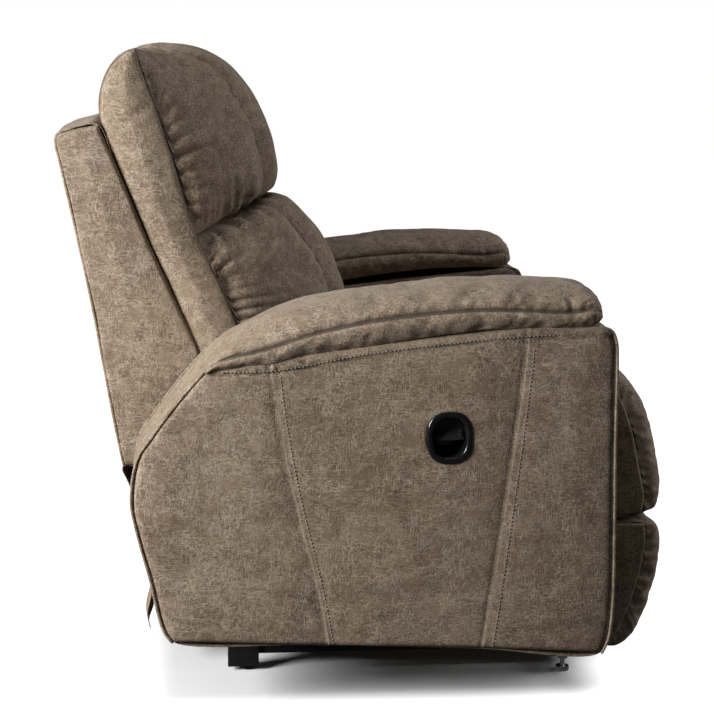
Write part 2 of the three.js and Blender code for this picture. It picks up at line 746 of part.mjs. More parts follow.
/** Plate behind the legrest board that takes the carrier and the control link. */
function legrestBracket(side) {
  const [x, z] = legrestPivot;
  const rear = boardX - TOUCH;
  const shape = outline([
    [x - 12, z - 13],
    [x + 2, z - 23],
    [rear, z - 45],
    [rear, z + 61],
    [x + 9, z + 61],
    [x - 12, z + 13],
  ]);
  const holes = [[legrestPivot, hole], [controlEnd, PIN - 1 + CONTROL_SLACK]];
  return slab(drill(shape, holes), onSide(side, layer(5)));
}

const padX = boardX + BOARD + TOUCH;
const padFront = padX + LEGREST_DEPTH;
const boardTop = LEGREST_TOP - 19;
const boardBottom = LEGREST_BOTTOM + 15;

/** Upper legrest pad: wraps over the board's top edge. */
const upperPad = () =>
  outline([
    [padX, LEGREST_SPLIT + 4],
    ...smooth([
      [padX + 60, LEGREST_SPLIT + 4],
      [padFront - 5, LEGREST_SPLIT + 18],
      [padFront, LEGREST_SPLIT + 52],
      [padFront - 14, LEGREST_TOP - 105],
      [padFront - 28, LEGREST_TOP - 60],
      [padFront - 51, LEGREST_TOP - 19],
      [padFront - 78, LEGREST_TOP],
    ], 14),
    [boardX + 5, LEGREST_TOP - 2],
    [boardX + 2, boardTop + TOUCH],
    [padX, boardTop + TOUCH],
  ]);

/** Lower legrest pad: wraps under the board's bottom edge. */
const lowerPad = () =>
  outline([
    [padX, boardBottom - TOUCH],
    [boardX + 3, boardBottom - TOUCH],
    [boardX + 7, LEGREST_BOTTOM],
    ...smooth([
      [padFront - 58, LEGREST_BOTTOM],
      [padFront - 41, LEGREST_BOTTOM + 14],
      [padFront - 22, LEGREST_BOTTOM + 59],
      [padFront - 4, LEGREST_BOTTOM + 126],
      [padFront, LEGREST_BOTTOM + 180],
      [padFront - 6, LEGREST_SPLIT - 14],
      [padX + 62, LEGREST_SPLIT - 3],
    ], 14),
    [padX, LEGREST_SPLIT - 3],
  ]);

/** Pads round off towards both sides of the legrest. */
const padded = (shape) =>
  bend(slab(shape, [-body + 1, body - 1], 8), (x, y, z) => {
    const edge = Math.abs(y / body) ** 6;
    return [x - Math.max(0, x - padX - 10) * 0.25 * edge, y, z];
  });

const legrest = assembly();
for (const [name, side] of SIDES) {
  legrest(`legrest_crank_${name}`, crank(side), black());
  legrest(`legrest_twin_crank_${name}`, twinCrank(side), black());
  legrest(`legrest_carrier_${name}`, carrier(side), black());
  legrest(`legrest_control_link_${name}`, controlLink(side), black());
  legrest(`legrest_bracket_${name}`, legrestBracket(side), black());
}
const tubeReach = layer(3)[0] - TOUCH;
legrest('drive_tube', pin(crankPivot, 10, [-tubeReach, tubeReach]), black());
const boardHalf = body - 20;
const legrestBoard = box([boardX, -boardHalf, boardBottom], [boardX + BOARD, boardHalf, boardTop]);
legrest('legrest_board', legrestBoard, wood());
legrest('legrest_pad_upper', padded(upperPad()), suede());
legrest('legrest_pad_lower', padded(lowerPad()), suede());

export default chair;
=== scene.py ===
"""A push-back recliner armchair in distressed suede cloth, dressed round its frame. Metres, +Z up."""

import math

import bpy
import numpy as np
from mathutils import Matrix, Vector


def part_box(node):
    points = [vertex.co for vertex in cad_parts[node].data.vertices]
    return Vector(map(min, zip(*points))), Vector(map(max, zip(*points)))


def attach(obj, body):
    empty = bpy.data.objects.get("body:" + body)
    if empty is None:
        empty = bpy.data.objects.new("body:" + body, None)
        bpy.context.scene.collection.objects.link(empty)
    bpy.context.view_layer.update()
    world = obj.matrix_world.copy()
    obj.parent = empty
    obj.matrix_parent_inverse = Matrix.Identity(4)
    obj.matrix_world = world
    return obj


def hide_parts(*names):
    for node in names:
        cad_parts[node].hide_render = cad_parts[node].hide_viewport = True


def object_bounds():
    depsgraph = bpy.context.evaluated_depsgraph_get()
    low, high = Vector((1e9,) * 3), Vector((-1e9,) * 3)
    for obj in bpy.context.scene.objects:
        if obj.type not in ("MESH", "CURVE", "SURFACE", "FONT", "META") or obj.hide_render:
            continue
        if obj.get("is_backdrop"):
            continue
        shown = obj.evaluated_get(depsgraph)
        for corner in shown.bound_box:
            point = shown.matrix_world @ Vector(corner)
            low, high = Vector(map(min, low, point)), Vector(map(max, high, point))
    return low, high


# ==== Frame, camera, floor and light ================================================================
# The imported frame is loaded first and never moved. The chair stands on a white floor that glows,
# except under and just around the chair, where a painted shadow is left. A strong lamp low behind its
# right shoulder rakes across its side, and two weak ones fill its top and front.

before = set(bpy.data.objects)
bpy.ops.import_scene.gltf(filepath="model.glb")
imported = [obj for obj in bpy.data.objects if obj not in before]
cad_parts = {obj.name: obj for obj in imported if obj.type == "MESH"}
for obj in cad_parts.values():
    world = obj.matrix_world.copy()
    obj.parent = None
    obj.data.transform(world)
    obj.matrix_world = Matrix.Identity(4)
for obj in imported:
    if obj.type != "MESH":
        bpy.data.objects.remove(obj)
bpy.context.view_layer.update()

EYE_PLACE = (-0.2851, -2.965, 1.0065)
EYE_PITCH = 8.10
EYE_YAW = 4.245
EYE_LENS = 85.3
EYE_SHIFT = (0.06, -0.08)


def added(name, data):
    """A new object of the scene that shows this data."""
    made = bpy.data.objects.new(name, data)
    bpy.context.scene.collection.objects.link(made)
    return made


def lamp(name, place, aim, size, power):
    """A square soft light at place, turned so that its face looks at aim."""
    light = bpy.data.lights.new(name, "AREA")
    light.size = size
    light.energy = power
    made = added(name, light)
    made.location = place
    direction = made.location.copy()
    direction.x, direction.y, direction.z = (a - p for a, p in zip(aim, place))
    made.rotation_euler = direction.to_track_quat("-Z", "Y").to_euler()


eye = added("camera", bpy.data.cameras.new("camera"))
eye.data.lens = EYE_LENS
eye.data.shift_x, eye.data.shift_y = EYE_SHIFT
eye.location = EYE_PLACE
eye.rotation_euler = (math.radians(90 - EYE_PITCH), 0, math.radians(-EYE_YAW))
bpy.context.scene.camera = eye
bpy.context.scene.view_settings.view_transform = "Standard"

lamp("lamp_behind", (-1.95, -1.25, 1.08), (-0.2, -0.2, 0.55), 0.8, 94)
lamp("lamp_over", (0.1, -0.3, 2.7), (0, 0, 0.3), 1.4, 12)
lamp("lamp_side", (2.5, 0.25, 1.4), (0, 0, 0.4), 1.4, 27)


class Flow:
    """One socket of a node tree. Sums, differences, products and powers of Flows add Math nodes."""

    def __init__(self, tree, socket=None):
        self.tree = tree
        self.socket = socket

    def node(self, kind, settings=None, values=None, out=0):
        """Adds a node: its settings, with a ramp's stops among them, then its sockets' values or links."""
        made = self.tree.nodes.new(kind)
        for key, value in (settings or {}).items():
            if key == "stops":
                elements = made.color_ramp.elements
                elements[1].position = value[-1][0]
                for place, _ in value[1:-1]:
                    elements.new(place)
                elements[0].position = value[0][0]
                for element, (_, colour) in zip(elements, value):
                    element.color = (*colour, 1)
            else:
                setattr(made, key, value)
        for key, value in (values or {}).items():
            if isinstance(value, Flow):
                self.tree.links.new(value.socket, made.inputs[key])
            else:
                made.inputs[key].default_value = value
        return Flow(self.tree, made.outputs[out])

    def math(self, operation, *terms):
        """The result of one Math node on these terms."""
        return self.node("ShaderNodeMath", {"operation": operation}, dict(enumerate(terms)))

    def __add__(self, other):
        return self.math("ADD", self, other)

    def __sub__(self, other):
        return self.math("SUBTRACT", self, other)

    def __mul__(self, other):
        return self.math("MULTIPLY", self, other)

    def __pow__(self, other):
        return self.math("POWER", self, other)

    def step(self, low, high, start=0.0, end=1.0):
        """Eases from start to end while this value goes from low to high."""
        values = {"Value": self, "From Min": low, "From Max": high, "To Min": start, "To Max": end}
        return self.node("ShaderNodeMapRange", {"interpolation_type": "SMOOTHSTEP"}, values)

    def noise(self, scale, detail=3.0, roughness=0.5, distortion=0.0):
        """Smooth random value from 0 to 1, read where this vector points."""
        values = {"Vector": self, "Scale": scale, "Detail": detail, "Roughness": roughness}
        return self.node("ShaderNodeTexNoise", {}, {**values, "Distortion": distortion})

    def mix(self, other, amount, blend="MIX"):
        """This colour turned into other by amount."""
        settings = {"data_type": "RGBA", "blend_type": blend}
        return self.node("ShaderNodeMix", settings, {0: amount, 6: self, 7: other}, out=2)

    def ramp(self, stops):
        """The colour at this value between stops of (place, colour)."""
        return self.node("ShaderNodeValToRGB", {"stops": stops}, {0: self})

    def bump(self, strength, distance):
        """The surface normal, with this value as its height."""
        return self.node("ShaderNodeBump", {}, {"Height": self, "Strength": strength, "Distance": distance})


def finish_of(name, fixed, colour=None, roughness=None, normal=None, glow=None):
    """A material: fixed holds the shader's constant sockets, the rest are built from Object coordinates."""
    material = bpy.data.materials.new(name)
    material.use_nodes = True
    tree = material.node_tree
    shader = tree.nodes["Principled BSDF"]
    for socket, value in fixed.items():
        shader.inputs[socket].default_value = value
    place = Flow(tree).node("ShaderNodeTexCoord", out=3)
    recipes = {"Base Color": colour, "Roughness": roughness, "Normal": normal, "Emission Color": glow}
    for socket, recipe in recipes.items():
        if recipe:
            tree.links.new(recipe(place).socket, shader.inputs[socket])
    return material


WORLD_WHITE = 1.0
WORLD_FILL = 0.05

world = bpy.data.worlds.new("studio")
bpy.context.scene.world = world
world.use_nodes = True
sky = Flow(world.node_tree)
seen = sky.node("ShaderNodeBackground", {}, {"Color": (1, 1, 1, 1), "Strength": WORLD_WHITE})
fill = sky.node("ShaderNodeBackground", {}, {"Color": (1, 1, 1, 1), "Strength": WORLD_FILL})
camera_ray = sky.node("ShaderNodeLightPath")
both = sky.node("ShaderNodeMixShader", {}, {0: camera_ray, 1: fill, 2: seen})
world.node_tree.links.new(both.socket, world.node_tree.nodes["World Output"].inputs[0])

FLOOR_SIZE = 14.0

floor_mesh = bpy.data.meshes.new("floor")
corners = [(x * FLOOR_SIZE, y * FLOOR_SIZE, 0) for x, y in ((-1, -1), (1, -1), (1, 1), (-1, 1))]
floor_mesh.from_pydata(corners, [], [(0, 1, 2, 3)])
floor_piece = added("floor", floor_mesh)
floor_piece.visible_diffuse = False
floor_piece.visible_glossy = False
# Over this footprint, and a shade's width around it, the floor's glow fades out: a painted shadow under the
# chair.
FOOTPRINT = (0.31, 0.36)
FLOOR_SHADE = 0.11


def floor_glow_and_painted_shadow(place):
    """White glow from the floor, none under the chair's footprint and full a hand's width outside it,
    so that the floor under the chair is a painted shadow.
    """
    x, y = (place.node("ShaderNodeSeparateXYZ", {}, {0: place}, out=axis) for axis in (0, 1))
    past = [side.math("ABSOLUTE", side) - half for side, half in zip((x, y), FOOTPRINT)]
    past_x, past_y = (side.math("MAXIMUM", side, 0.0) for side in past)
    reach = (past_x**2.0 + past_y**2.0) ** 0.5
    stops = [(0.0, (0, 0, 0)), (1.0, (0.97, 0.97, 0.97))]
    return reach.step(0.0, FLOOR_SHADE).ramp(stops)


paint = finish_of(
    "floor_with_painted_shadow",
    {"Roughness": 0.7, "Specular IOR Level": 0.2, "Emission Strength": 1.0},
    colour=lambda place: place.noise(0.8).mix((0.93, 0.93, 0.93, 1), 0.97),
    glow=floor_glow_and_painted_shadow,
)
floor_piece.data.materials.append(paint)
floor_piece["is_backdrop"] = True

# ==== Arm covers ====================================================================================
# Each arm is a boxed upholstery cover over a board: an outer side of three panels, an inner side, and
# one band that runs round the edge between them. The panels are joined by topstitched seams, and a
# piped welt finishes the front and rear edges.

MM = 0.001
TAUPE = (0.216, 0.160, 0.110)
TAUPE_LIGHT = (0.365, 0.286, 0.212)
TAUPE_DARK = (0.100, 0.069, 0.044)
# The pale of scraped nap, also used as the painted highlight along raised seam ridges.
TAUPE_SCRAPED_AND_HIGHLIGHT = (0.410, 0.338, 0.264)
TAUPE_WARM = (0.205, 0.138, 0.088)
# Painted shade for the grooves of seams and channels.
TAUPE_SEAM_SHADE = (0.060, 0.044, 0.032)
THREAD = (0.15, 0.117, 0.088)


def outline(*places):
    """A list of (X, Z) in metres from places in millimetres."""
    return [(x / 1000, z / 1000) for x, z in places]


def resampled(line, count):
    """The same line with count points, evenly spaced along its length."""
    steps = np.linalg.norm(np.diff(line, axis=0), axis=1)
    reach = np.concatenate([[0], np.cumsum(steps)])
    wanted = np.linspace(0, reach[-1], count)
    return np.stack([np.interp(wanted, reach, column) for column in line.T], -1)


def smooth_line(points, count, dense=24):
    """A cubic through the points, whose slope at each is that between its neighbours, evenly spaced."""
    p = np.asarray(points, float)
    if len(p) == 2:
        return resampled(p, count)
    t = np.concatenate([[0], np.cumsum(np.linalg.norm(np.diff(p, axis=0), axis=1) ** 0.5)])
    slope = np.gradient(p, t, axis=0)
    s = np.linspace(0, t[-1], dense * len(p))
    i = np.clip(np.searchsorted(t, s, side="right") - 1, 0, len(p) - 2)
    h = (t[i + 1] - t[i])[:, None]
    f = (s - t[i])[:, None] / h
    start = (2 * f**3 - 3 * f**2 + 1) * p[i] + (f**3 - 2 * f**2 + f) * h * slope[i]
    end = (3 * f**2 - 2 * f**3) * p[i + 1] + (f**3 - f**2) * h * slope[i + 1]
    return resampled(start + end, count)


def quads(number):
    """Corner numbers of the quads between neighbouring rows and columns of a grid of vertex numbers."""
    return np.stack([number[:-1, :-1], number[1:, :-1], number[1:, 1:], number[:-1, 1:]], -1).reshape(-1, 4)


def lid(ring):
    """Quads across a ring of vertex numbers, from one half of it to the other."""
    half_way = len(ring) // 2
    return quads(np.stack([ring[:half_way], ring[::-1][:half_way]]))


def two_sided(n, m):
    """Vertex numbers of a front grid and of a back one, which share the border."""
    number = np.arange(n * m).reshape(n, m)
    hidden = number.copy()
    hidden[1:-1, 1:-1] = n * m + np.arange((n - 2) * (m - 2)).reshape(n - 2, m - 2)
    return number, hidden


def split(faces):
    """Triangles of the quads, each cut once along a diagonal."""
    return np.concatenate([faces[:, [0, 1, 2]], faces[:, [0, 2, 3]]])


def outward(points, faces):
    """The faces, all turned over if the volume that they enclose comes out negative."""
    a, b, c = (points[column] for column in split(faces).T)
    volume = np.einsum("ij,ij->i", np.cross(a, b), c).sum()
    return faces if volume > 0 else faces[:, ::-1]


def normals_of(points, faces):
    """Unit normals at the vertices: the sum of the area vectors of the triangles that meet there."""
    triangles = split(faces)
    a, b, c = (points[column] for column in triangles.T)
    area = np.cross(b - a, c - a)
    total = np.zeros_like(points)
    for column in triangles.T:
        np.add.at(total, column, area)
    return total / np.maximum(np.linalg.norm(total, axis=1, keepdims=True), 1e-12)


def shape(name, points, faces, material, body):
    """A shown mesh with smooth faces, riding on a body."""
    mesh = bpy.data.meshes.new(name)
    mesh.from_pydata(points.tolist(), [], faces)
    mesh.polygons.foreach_set("use_smooth", np.ones(len(mesh.polygons), bool))
    mesh.materials.append(material)
    made = added(name, mesh)
    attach(made, body)
    return made


def piece(name, points, faces, material, body, painted_lights=None, levels=1):
    """A closed shape turned outward, its painted seam shade and highlight stored per vertex, and rounded by
    that many levels.
    """
    made = shape(name, points, outward(points, faces).tolist(), material, body)
    for painted_light, values in (painted_lights or {}).items():
        held = made.data.attributes.new(painted_light, "FLOAT", "POINT")
        held.data.foreach_set("value", values.astype(np.float32))
    if levels:
        rounder = made.modifiers.new("rounder", "SUBSURF")
        rounder.levels = rounder.render_levels = levels
    return made


def waves(where, length, seed, count=6):
    """Smooth unevenness from -1 to 1: a sum of sine waves in random directions, each about length long."""
    draw = np.random.default_rng(seed)
    ways = draw.normal(size=(count, where.shape[-1]))
    ways /= np.linalg.norm(ways, axis=1, keepdims=True)
    pitch = 2 * math.pi / (length * draw.uniform(0.7, 1.5, count))
    return np.sin(where @ (ways * pitch[:, None]).T + draw.uniform(0, 6.28, count)).mean(-1) * 1.6


def eased(count, ends=0.75):
    """Count values from 0 to 1, packed closer towards both ends by that share of a cosine."""
    t = np.linspace(0, 1, count)
    return ends * (1 - np.cos(math.pi * t)) / 2 + (1 - ends) * t


def ruled(rails, counts, rows, ends=0.75):
    """A grid between neighbouring rails: straight across from one to the next, rows along them."""
    lines = [resampled(smooth_line(rail, rows * 4), rows * 4) for rail in rails]
    share = eased(rows, 0.5) * (rows * 4 - 1)
    lines = [
        np.stack([np.interp(share, np.arange(rows * 4), column) for column in line.T], -1)
        for line in lines
    ]
    parts = []
    for first, second, count in zip(lines[:-1], lines[1:], counts):
        s = eased(count + 1, ends)[None, :, None]
        parts.append((first[:, None] * (1 - s) + second[:, None] * s)[:, : count])
    return np.concatenate([*parts, lines[-1][:, None]], axis=1)


def rounded_edge(flat, radius):
    """How far the edge of a padded panel drops: a quarter circle of that radius along the grid's border."""
    sides = [flat - flat[:1], flat - flat[-1:], flat - flat[:, :1], flat - flat[:, -1:]]
    away = np.min([np.linalg.norm(side, axis=-1) for side in sides], axis=0)
    inside = np.clip(1 - away / radius, 0, 1)
    return radius * (1 - np.sqrt(1 - inside**2)), away


def side_panel(name, rails, counts, rows, face, depth, crown, body, seams=(), radius=10 * MM, band=None,
               nicks=(), hole=None, edge_shade=0.0, seed=1):
    """A padded panel in a plane of constant Y, whose outline is ruled between rails given as (X, Z).

    It stands crown proud of face between its seams, drops by a quarter circle at its border, and closes
    on a flat back that is depth behind. The sign of depth says which way the back lies.
    """
    flat = ruled(rails, counts, rows)
    drop, away = rounded_edge(flat, radius)
    hands = np.sign(depth)
    full = np.ones(flat.shape[1])
    edges = (0, *seams, flat.shape[1] - 1)
    for low, high in zip(edges[:-1], edges[1:]):
        inner = np.linspace(0, 1, high - low + 1)
        full[low : high + 1] = np.sin(math.pi * inner) ** 0.6
    rise = crown * full[None] * np.clip(away / (60 * MM), 0, 1) ** 0.5
    rise += 1.1 * MM * waves(flat, 150 * MM, seed) + 0.5 * MM * waves(flat, 45 * MM, seed + 1)
    # Painted shade along the panel's border, where its edge rounds away, as strong as the edge argument
    # asks.
    painted_light = edge_shade * np.exp(-((away / (4 * MM)) ** 2))
    for column in seams:
        across = (flat - flat[:, column : column + 1])[..., 0]
        rough = 1 + 0.45 * waves(flat, 11 * MM, seed + 9)
        rise += 1.5 * MM * rough * np.exp(-((across / (2.2 * MM)) ** 2))
        rise -= 0.7 * MM * np.exp(-(((across + 5 * MM) / (2.4 * MM)) ** 2))
        # Painted highlight on each seam's raised ridge.
        painted_light -= 0.60 * np.exp(-((across / (1.9 * MM)) ** 2))
    if band is not None:
        over = flat[..., 1] - np.interp(flat[..., 0], *np.array(band).T)
        rise += 2.2 * MM * np.clip(over / (6 * MM), 0, 1) - 1.8 * MM * np.exp(-((over / (2.2 * MM)) ** 2))
        rise += 1.2 * MM * np.exp(-(((over - 9 * MM) / (9 * MM)) ** 2)) * waves(flat, 14 * MM, seed + 2)
        # Above the stitch line the other painted light is dropped, and painted shade runs along its groove
        # under the pad.
        painted_light = painted_light * (over < 0) + 0.75 * np.exp(-((over / (2.4 * MM)) ** 2))
    for start, end in nicks:
        way = np.subtract(end, start)
        share = np.clip(((flat - start) @ way) / (way @ way), 0, 1)
        near = np.linalg.norm(flat - start - share[..., None] * way, axis=-1)
        rise -= 3 * MM * np.exp(-((near / (2.5 * MM)) ** 2))
        # Painted shade in each nick's groove.
        painted_light = np.maximum(painted_light, 0.8 * np.exp(-((near / (3 * MM)) ** 2)))
    n, m = drop.shape
    number, hidden = two_sided(n, m)
    gone = np.zeros((n - 1, m - 1), bool)
    if hole is not None:
        centre, radii = np.array(hole[:2]), np.array(hole[2:])
        share = np.linalg.norm((flat - centre) / radii, axis=-1)
        within = share < 1
        gone = within[:-1, :-1] & within[1:, :-1] & within[1:, 1:] & within[:-1, 1:]
        touching = np.zeros((n, m), bool)
        for rows_part in (slice(0, -1), slice(1, None)):
            for columns_part in (slice(0, -1), slice(1, None)):
                touching[rows_part, columns_part] |= gone
        on_rim = centre + (flat - centre) / np.maximum(share, 1e-6)[..., None]
        flat = np.where(touching[..., None], on_rim, flat)
    front = np.stack([flat[..., 0], face - hands * (rise - drop), flat[..., 1]], -1)
    back = np.stack([flat[..., 0], np.full_like(drop, face + depth), flat[..., 1]], -1)
    points = np.concatenate([front.reshape(-1, 3), back[1:-1, 1:-1].reshape(-1, 3)])
    painted_lights = np.concatenate([painted_light.ravel(), np.zeros((n - 2) * (m - 2))])
    kept = ~gone.ravel()
    walls = []
    for first, second, low, high in (
        (number[:-1, 1:-1], number[1:, 1:-1], gone[:, :-1], gone[:, 1:]),
        (number[1:-1, 1:], number[1:-1, :-1], gone[:-1], gone[1:]),
    ):
        for a, b, rim in ((first, second, low & ~high), (second, first, high & ~low)):
            behind = hidden.ravel()
            walls.append(np.stack([b[rim], a[rim], behind[a[rim]], behind[b[rim]]], -1))
    faces = np.concatenate([quads(number)[kept], quads(hidden)[kept][:, ::-1], *walls])
    used, faces = np.unique(faces, return_inverse=True)
    faces = faces.reshape(-1, 4)
    points, painted_lights = points[used], painted_lights[used]
    return piece(name, points, faces, suede, body, {"seam": painted_lights}), front


def edge_band(name, border, sides, crown, body, rows=260, columns=18, wall=7 * MM, seed=5):
    """A strip that runs round a closed outline of (X, Z) points, from one Y in sides to the other.

    Its section is a shallow bow, crown high, over a straight inner wall, so that the strip is closed.
    """
    loop = resampled(smooth_line([*border, border[0]], rows * 4), rows + 1)[:-1]
    ahead = np.roll(loop, -1, axis=0) - np.roll(loop, 1, axis=0)
    out = np.stack([ahead[:, 1], -ahead[:, 0]], -1) / np.linalg.norm(ahead, axis=1, keepdims=True)
    turn = np.cross(loop, np.roll(loop, -1, axis=0)).sum()
    out *= np.sign(turn)
    across = eased(columns, 0.4)
    bow = crown * np.sin(math.pi * across) ** 0.7
    lift = np.concatenate([bow, [-wall, -wall]])
    y = np.concatenate([sides[0] + (sides[1] - sides[0]) * across, [sides[1], sides[0]]])
    grid = np.zeros((rows, columns + 2, 3))
    grid[..., 0] = loop[:, :1] + out[:, :1] * lift
    grid[..., 1] = y
    grid[..., 2] = loop[:, 1:] + out[:, 1:] * lift
    uneven = 1.2 * MM * waves(grid, 110 * MM, seed) * np.concatenate([np.sin(math.pi * across), [0, 0]])
    grid[..., 0] += out[:, :1] * uneven
    grid[..., 2] += out[:, 1:] * uneven
    number = np.arange(grid[..., 0].size).reshape(rows, -1)
    number = np.vstack([number, number[:1]])
    number = np.hstack([number, number[:, :1]])
    painted_lights = {"seam": np.zeros(rows * (columns + 2))}
    return piece(name, grid.reshape(-1, 3), quads(number), suede, body, painted_lights)


def cord_round(path, radius, sides=10, seed=3):
    """A round cord along a path, closed by a point at each end, with a slight unevenness of its radius."""
    ahead = np.gradient(path, axis=0)
    ahead /= np.linalg.norm(ahead, axis=1, keepdims=True)
    first = np.cross(ahead, (0.31, 0.91, 0.27))
    first /= np.linalg.norm(first, axis=1, keepdims=True)
    second = np.cross(ahead, first)
    turn = np.linspace(0, 2 * math.pi, sides, endpoint=False)
    ends = np.ones(len(path))
    ends[0] = ends[-1] = 0.02
    thick = radius * ends * (1 + 0.06 * waves(path, 25 * MM, seed))
    ring = np.cos(turn)[:, None] * first[:, None] + np.sin(turn)[:, None] * second[:, None]
    points = path[:, None] + ring * thick[:, None, None]
    number = np.arange(len(path) * sides).reshape(len(path), sides)
    faces = quads(np.hstack([number, number[:, :1]]))
    return points.reshape(-1, 3), np.concatenate([faces, lid(number[0]), lid(number[-1][::-1])])


def stitches(name, path, up, body, pitch=6 * MM, length=4.2 * MM, thick=0.9 * MM):
    """A row of thread stitches along a path: each a spindle of two rings of five between two points."""
    count = max(2, int(np.linalg.norm(np.diff(path, axis=0), axis=1).sum() / pitch))
    spots = resampled(path, count)
    ahead = np.gradient(spots, axis=0)
    ahead /= np.linalg.norm(ahead, axis=1, keepdims=True)
    side = np.cross(ahead, up)
    side /= np.linalg.norm(side, axis=1, keepdims=True)
    above = np.cross(side, ahead)
    turn = np.linspace(0, 2 * math.pi, 5, endpoint=False)
    ring = np.stack([np.zeros(5), np.cos(turn) * thick, np.sin(turn) * thick], -1)
    offset = (length * 0.3, 0, 0)
    tip = (length / 2, 0, -thick)
    spindle = np.concatenate([[(-length / 2, 0, -thick)], ring - offset, ring + offset, [tip]])
    axes = np.stack([ahead, side, above], 1)
    points = (spots[:, None] + spindle @ axes).reshape(-1, 3)
    step = np.roll(np.arange(5), -1)
    low, high = 1 + np.arange(5), 6 + np.arange(5)
    walls = np.stack([low, 1 + step, 6 + step, high], -1)
    first_tip = np.stack([np.zeros(5, int), 1 + step, low, low], -1)
    last_tip = np.stack([np.full(5, 11), high, 6 + step, 6 + step], -1)
    tips = np.concatenate([first_tip, last_tip])
    shift = (np.arange(count) * len(spindle))[:, None]
    walls = (walls.ravel() + shift).reshape(-1, 4)
    tips = (tips.ravel() + shift).reshape(-1, 4)[:, :3]
    shape(name, points, [*walls.tolist(), *tips.tolist()], thread, body)


def suede_colour(place):
    """Taupe with soft clouds, a nap of short fibres lying many ways and pale scrapes. Seams get painted
    shade in their grooves and a painted highlight along their raised ridges.
    """
    clouds = place.noise(6.0, 3.0, 0.6).step(0.30, 0.70)
    mottle = place.noise(48.0, 4.0, 0.65).step(0.30, 0.70)
    tone = clouds * 0.20 + mottle * 0.20 + fibres(place) * 0.70 - 0.10
    stops = [(0.0, TAUPE_DARK), (0.5, TAUPE), (1.0, TAUPE_LIGHT)]
    base = tone.ramp(stops)
    warm = base.mix((*TAUPE_WARM, 1), place.noise(14.0, 3.0, 0.6).step(0.5, 0.75, 0.0, 0.35))
    pale = warm.mix((*TAUPE_SCRAPED_AND_HIGHLIGHT, 1), scratches(place) * 0.72)
    # The seam attribute holds painted light: above zero it is painted shade in seam grooves, below zero a
    # painted highlight on seam ridges.
    seam = place.node("ShaderNodeAttribute", {"attribute_name": "seam"}, out=2)
    # Painted highlight along the raised seam ridges.
    seam_highlit = pale.mix((*TAUPE_SCRAPED_AND_HIGHLIGHT, 1), seam.step(-0.7, -0.1, 0.55, 0.0))
    # Painted shade in the seam and channel grooves.
    return seam_highlit.mix((*TAUPE_SEAM_SHADE, 1), seam.step(0.3, 1.0, 0.0, 0.85))


LIES = (
    ((0.3, 0.2, 0.5), (1.0, 1.0, 0.26)),
    ((0.9, 1.1, -0.4), (0.28, 1.0, 1.0)),
    ((-0.6, 0.5, 1.2), (1.0, 0.30, 1.0)),
    ((0.2, -0.9, 0.3), (0.26, 1.0, 1.0)),
)


def lying(place, turn, stretch):
    """The place turned one way and drawn out, so that a pattern read there lies along that way."""
    return place.node("ShaderNodeMapping", {}, {"Vector": place, "Rotation": turn, "Scale": stretch})


def fibres(place):
    """The nap: streaks a few millimetres long that lie one of four ways, each way in patches of its own."""
    total = None
    for number, (turn, stretch) in enumerate(LIES):
        patch = lying(place, turn, (1, 1, 1)).noise(26.0 + 3 * number, 2.0).step(0.42, 0.60, 0.12, 1.0)
        streak = (lying(place, turn, stretch).noise(430.0, 2.5, 0.65) - 0.5) * patch
        total = streak if total is None else total + streak
    return total.step(-0.26, 0.26)


SCRAPES = ((150.0, 0.075), (175.0, 0.075), (230.0, 0.10), (120.0, 0.06))


def drifted(place):
    """The place moved about by a few millimetres, so that lines read there run crooked."""
    drift = place.node("ShaderNodeTexNoise", {}, {"Vector": place, "Scale": 60.0, "Detail": 2.0}, out=1)
    values = {0: drift, 1: (12 * MM, 12 * MM, 12 * MM), 2: place}
    return place.node("ShaderNodeVectorMath", {"operation": "MULTIPLY_ADD"}, values)


def scratches(place):
    """Where the nap is scraped: edges of stretched cells, thin, and broken up by a cloud."""
    found = None
    place = drifted(place)
    for (turn, stretch), (scale, wide) in zip(LIES, SCRAPES):
        lie = lying(place, turn, stretch)
        values = {"Vector": lie, "Scale": scale}
        cells = lie.node("ShaderNodeTexVoronoi", {"feature": "DISTANCE_TO_EDGE"}, values)
        line = cells.step(0.0, wide, 1.0, 0.0) * lie.noise(scale * 0.25, 3.0, 0.6).step(0.50, 0.62)
        found = line if found is None else found.math("MAXIMUM", found, line)
    return found


def suede_height(place):
    """The nap's fine grain, with soft dents and the streaks of its fibres."""
    grain = place.noise(900.0, 3.0, 0.7)
    dents = place.noise(140.0, 4.0, 0.6)
    return (grain * 0.25 + dents * 0.35 + fibres(place) * 0.45).bump(0.6, 1.1 * MM)


suede = finish_of(
    "distressed_suede",
    {
        "Specular IOR Level": 0.28,
        "Sheen Weight": 0.12,
        "Sheen Roughness": 0.45,
        "Sheen Tint": (0.9, 0.84, 0.76, 1),
    },
    colour=suede_colour,
    roughness=lambda place: place.noise(60.0, 4.0).step(0.3, 0.7, 0.72, 0.88),
    normal=suede_height,
)
thread = finish_of(
    "topstitch_thread",
    {"Specular IOR Level": 0.4},
    colour=lambda place: place.noise(900.0).mix((*THREAD, 1), 0.82),
    roughness=lambda place: place.noise(400.0).step(0.3, 0.7, 0.5, 0.65),
)

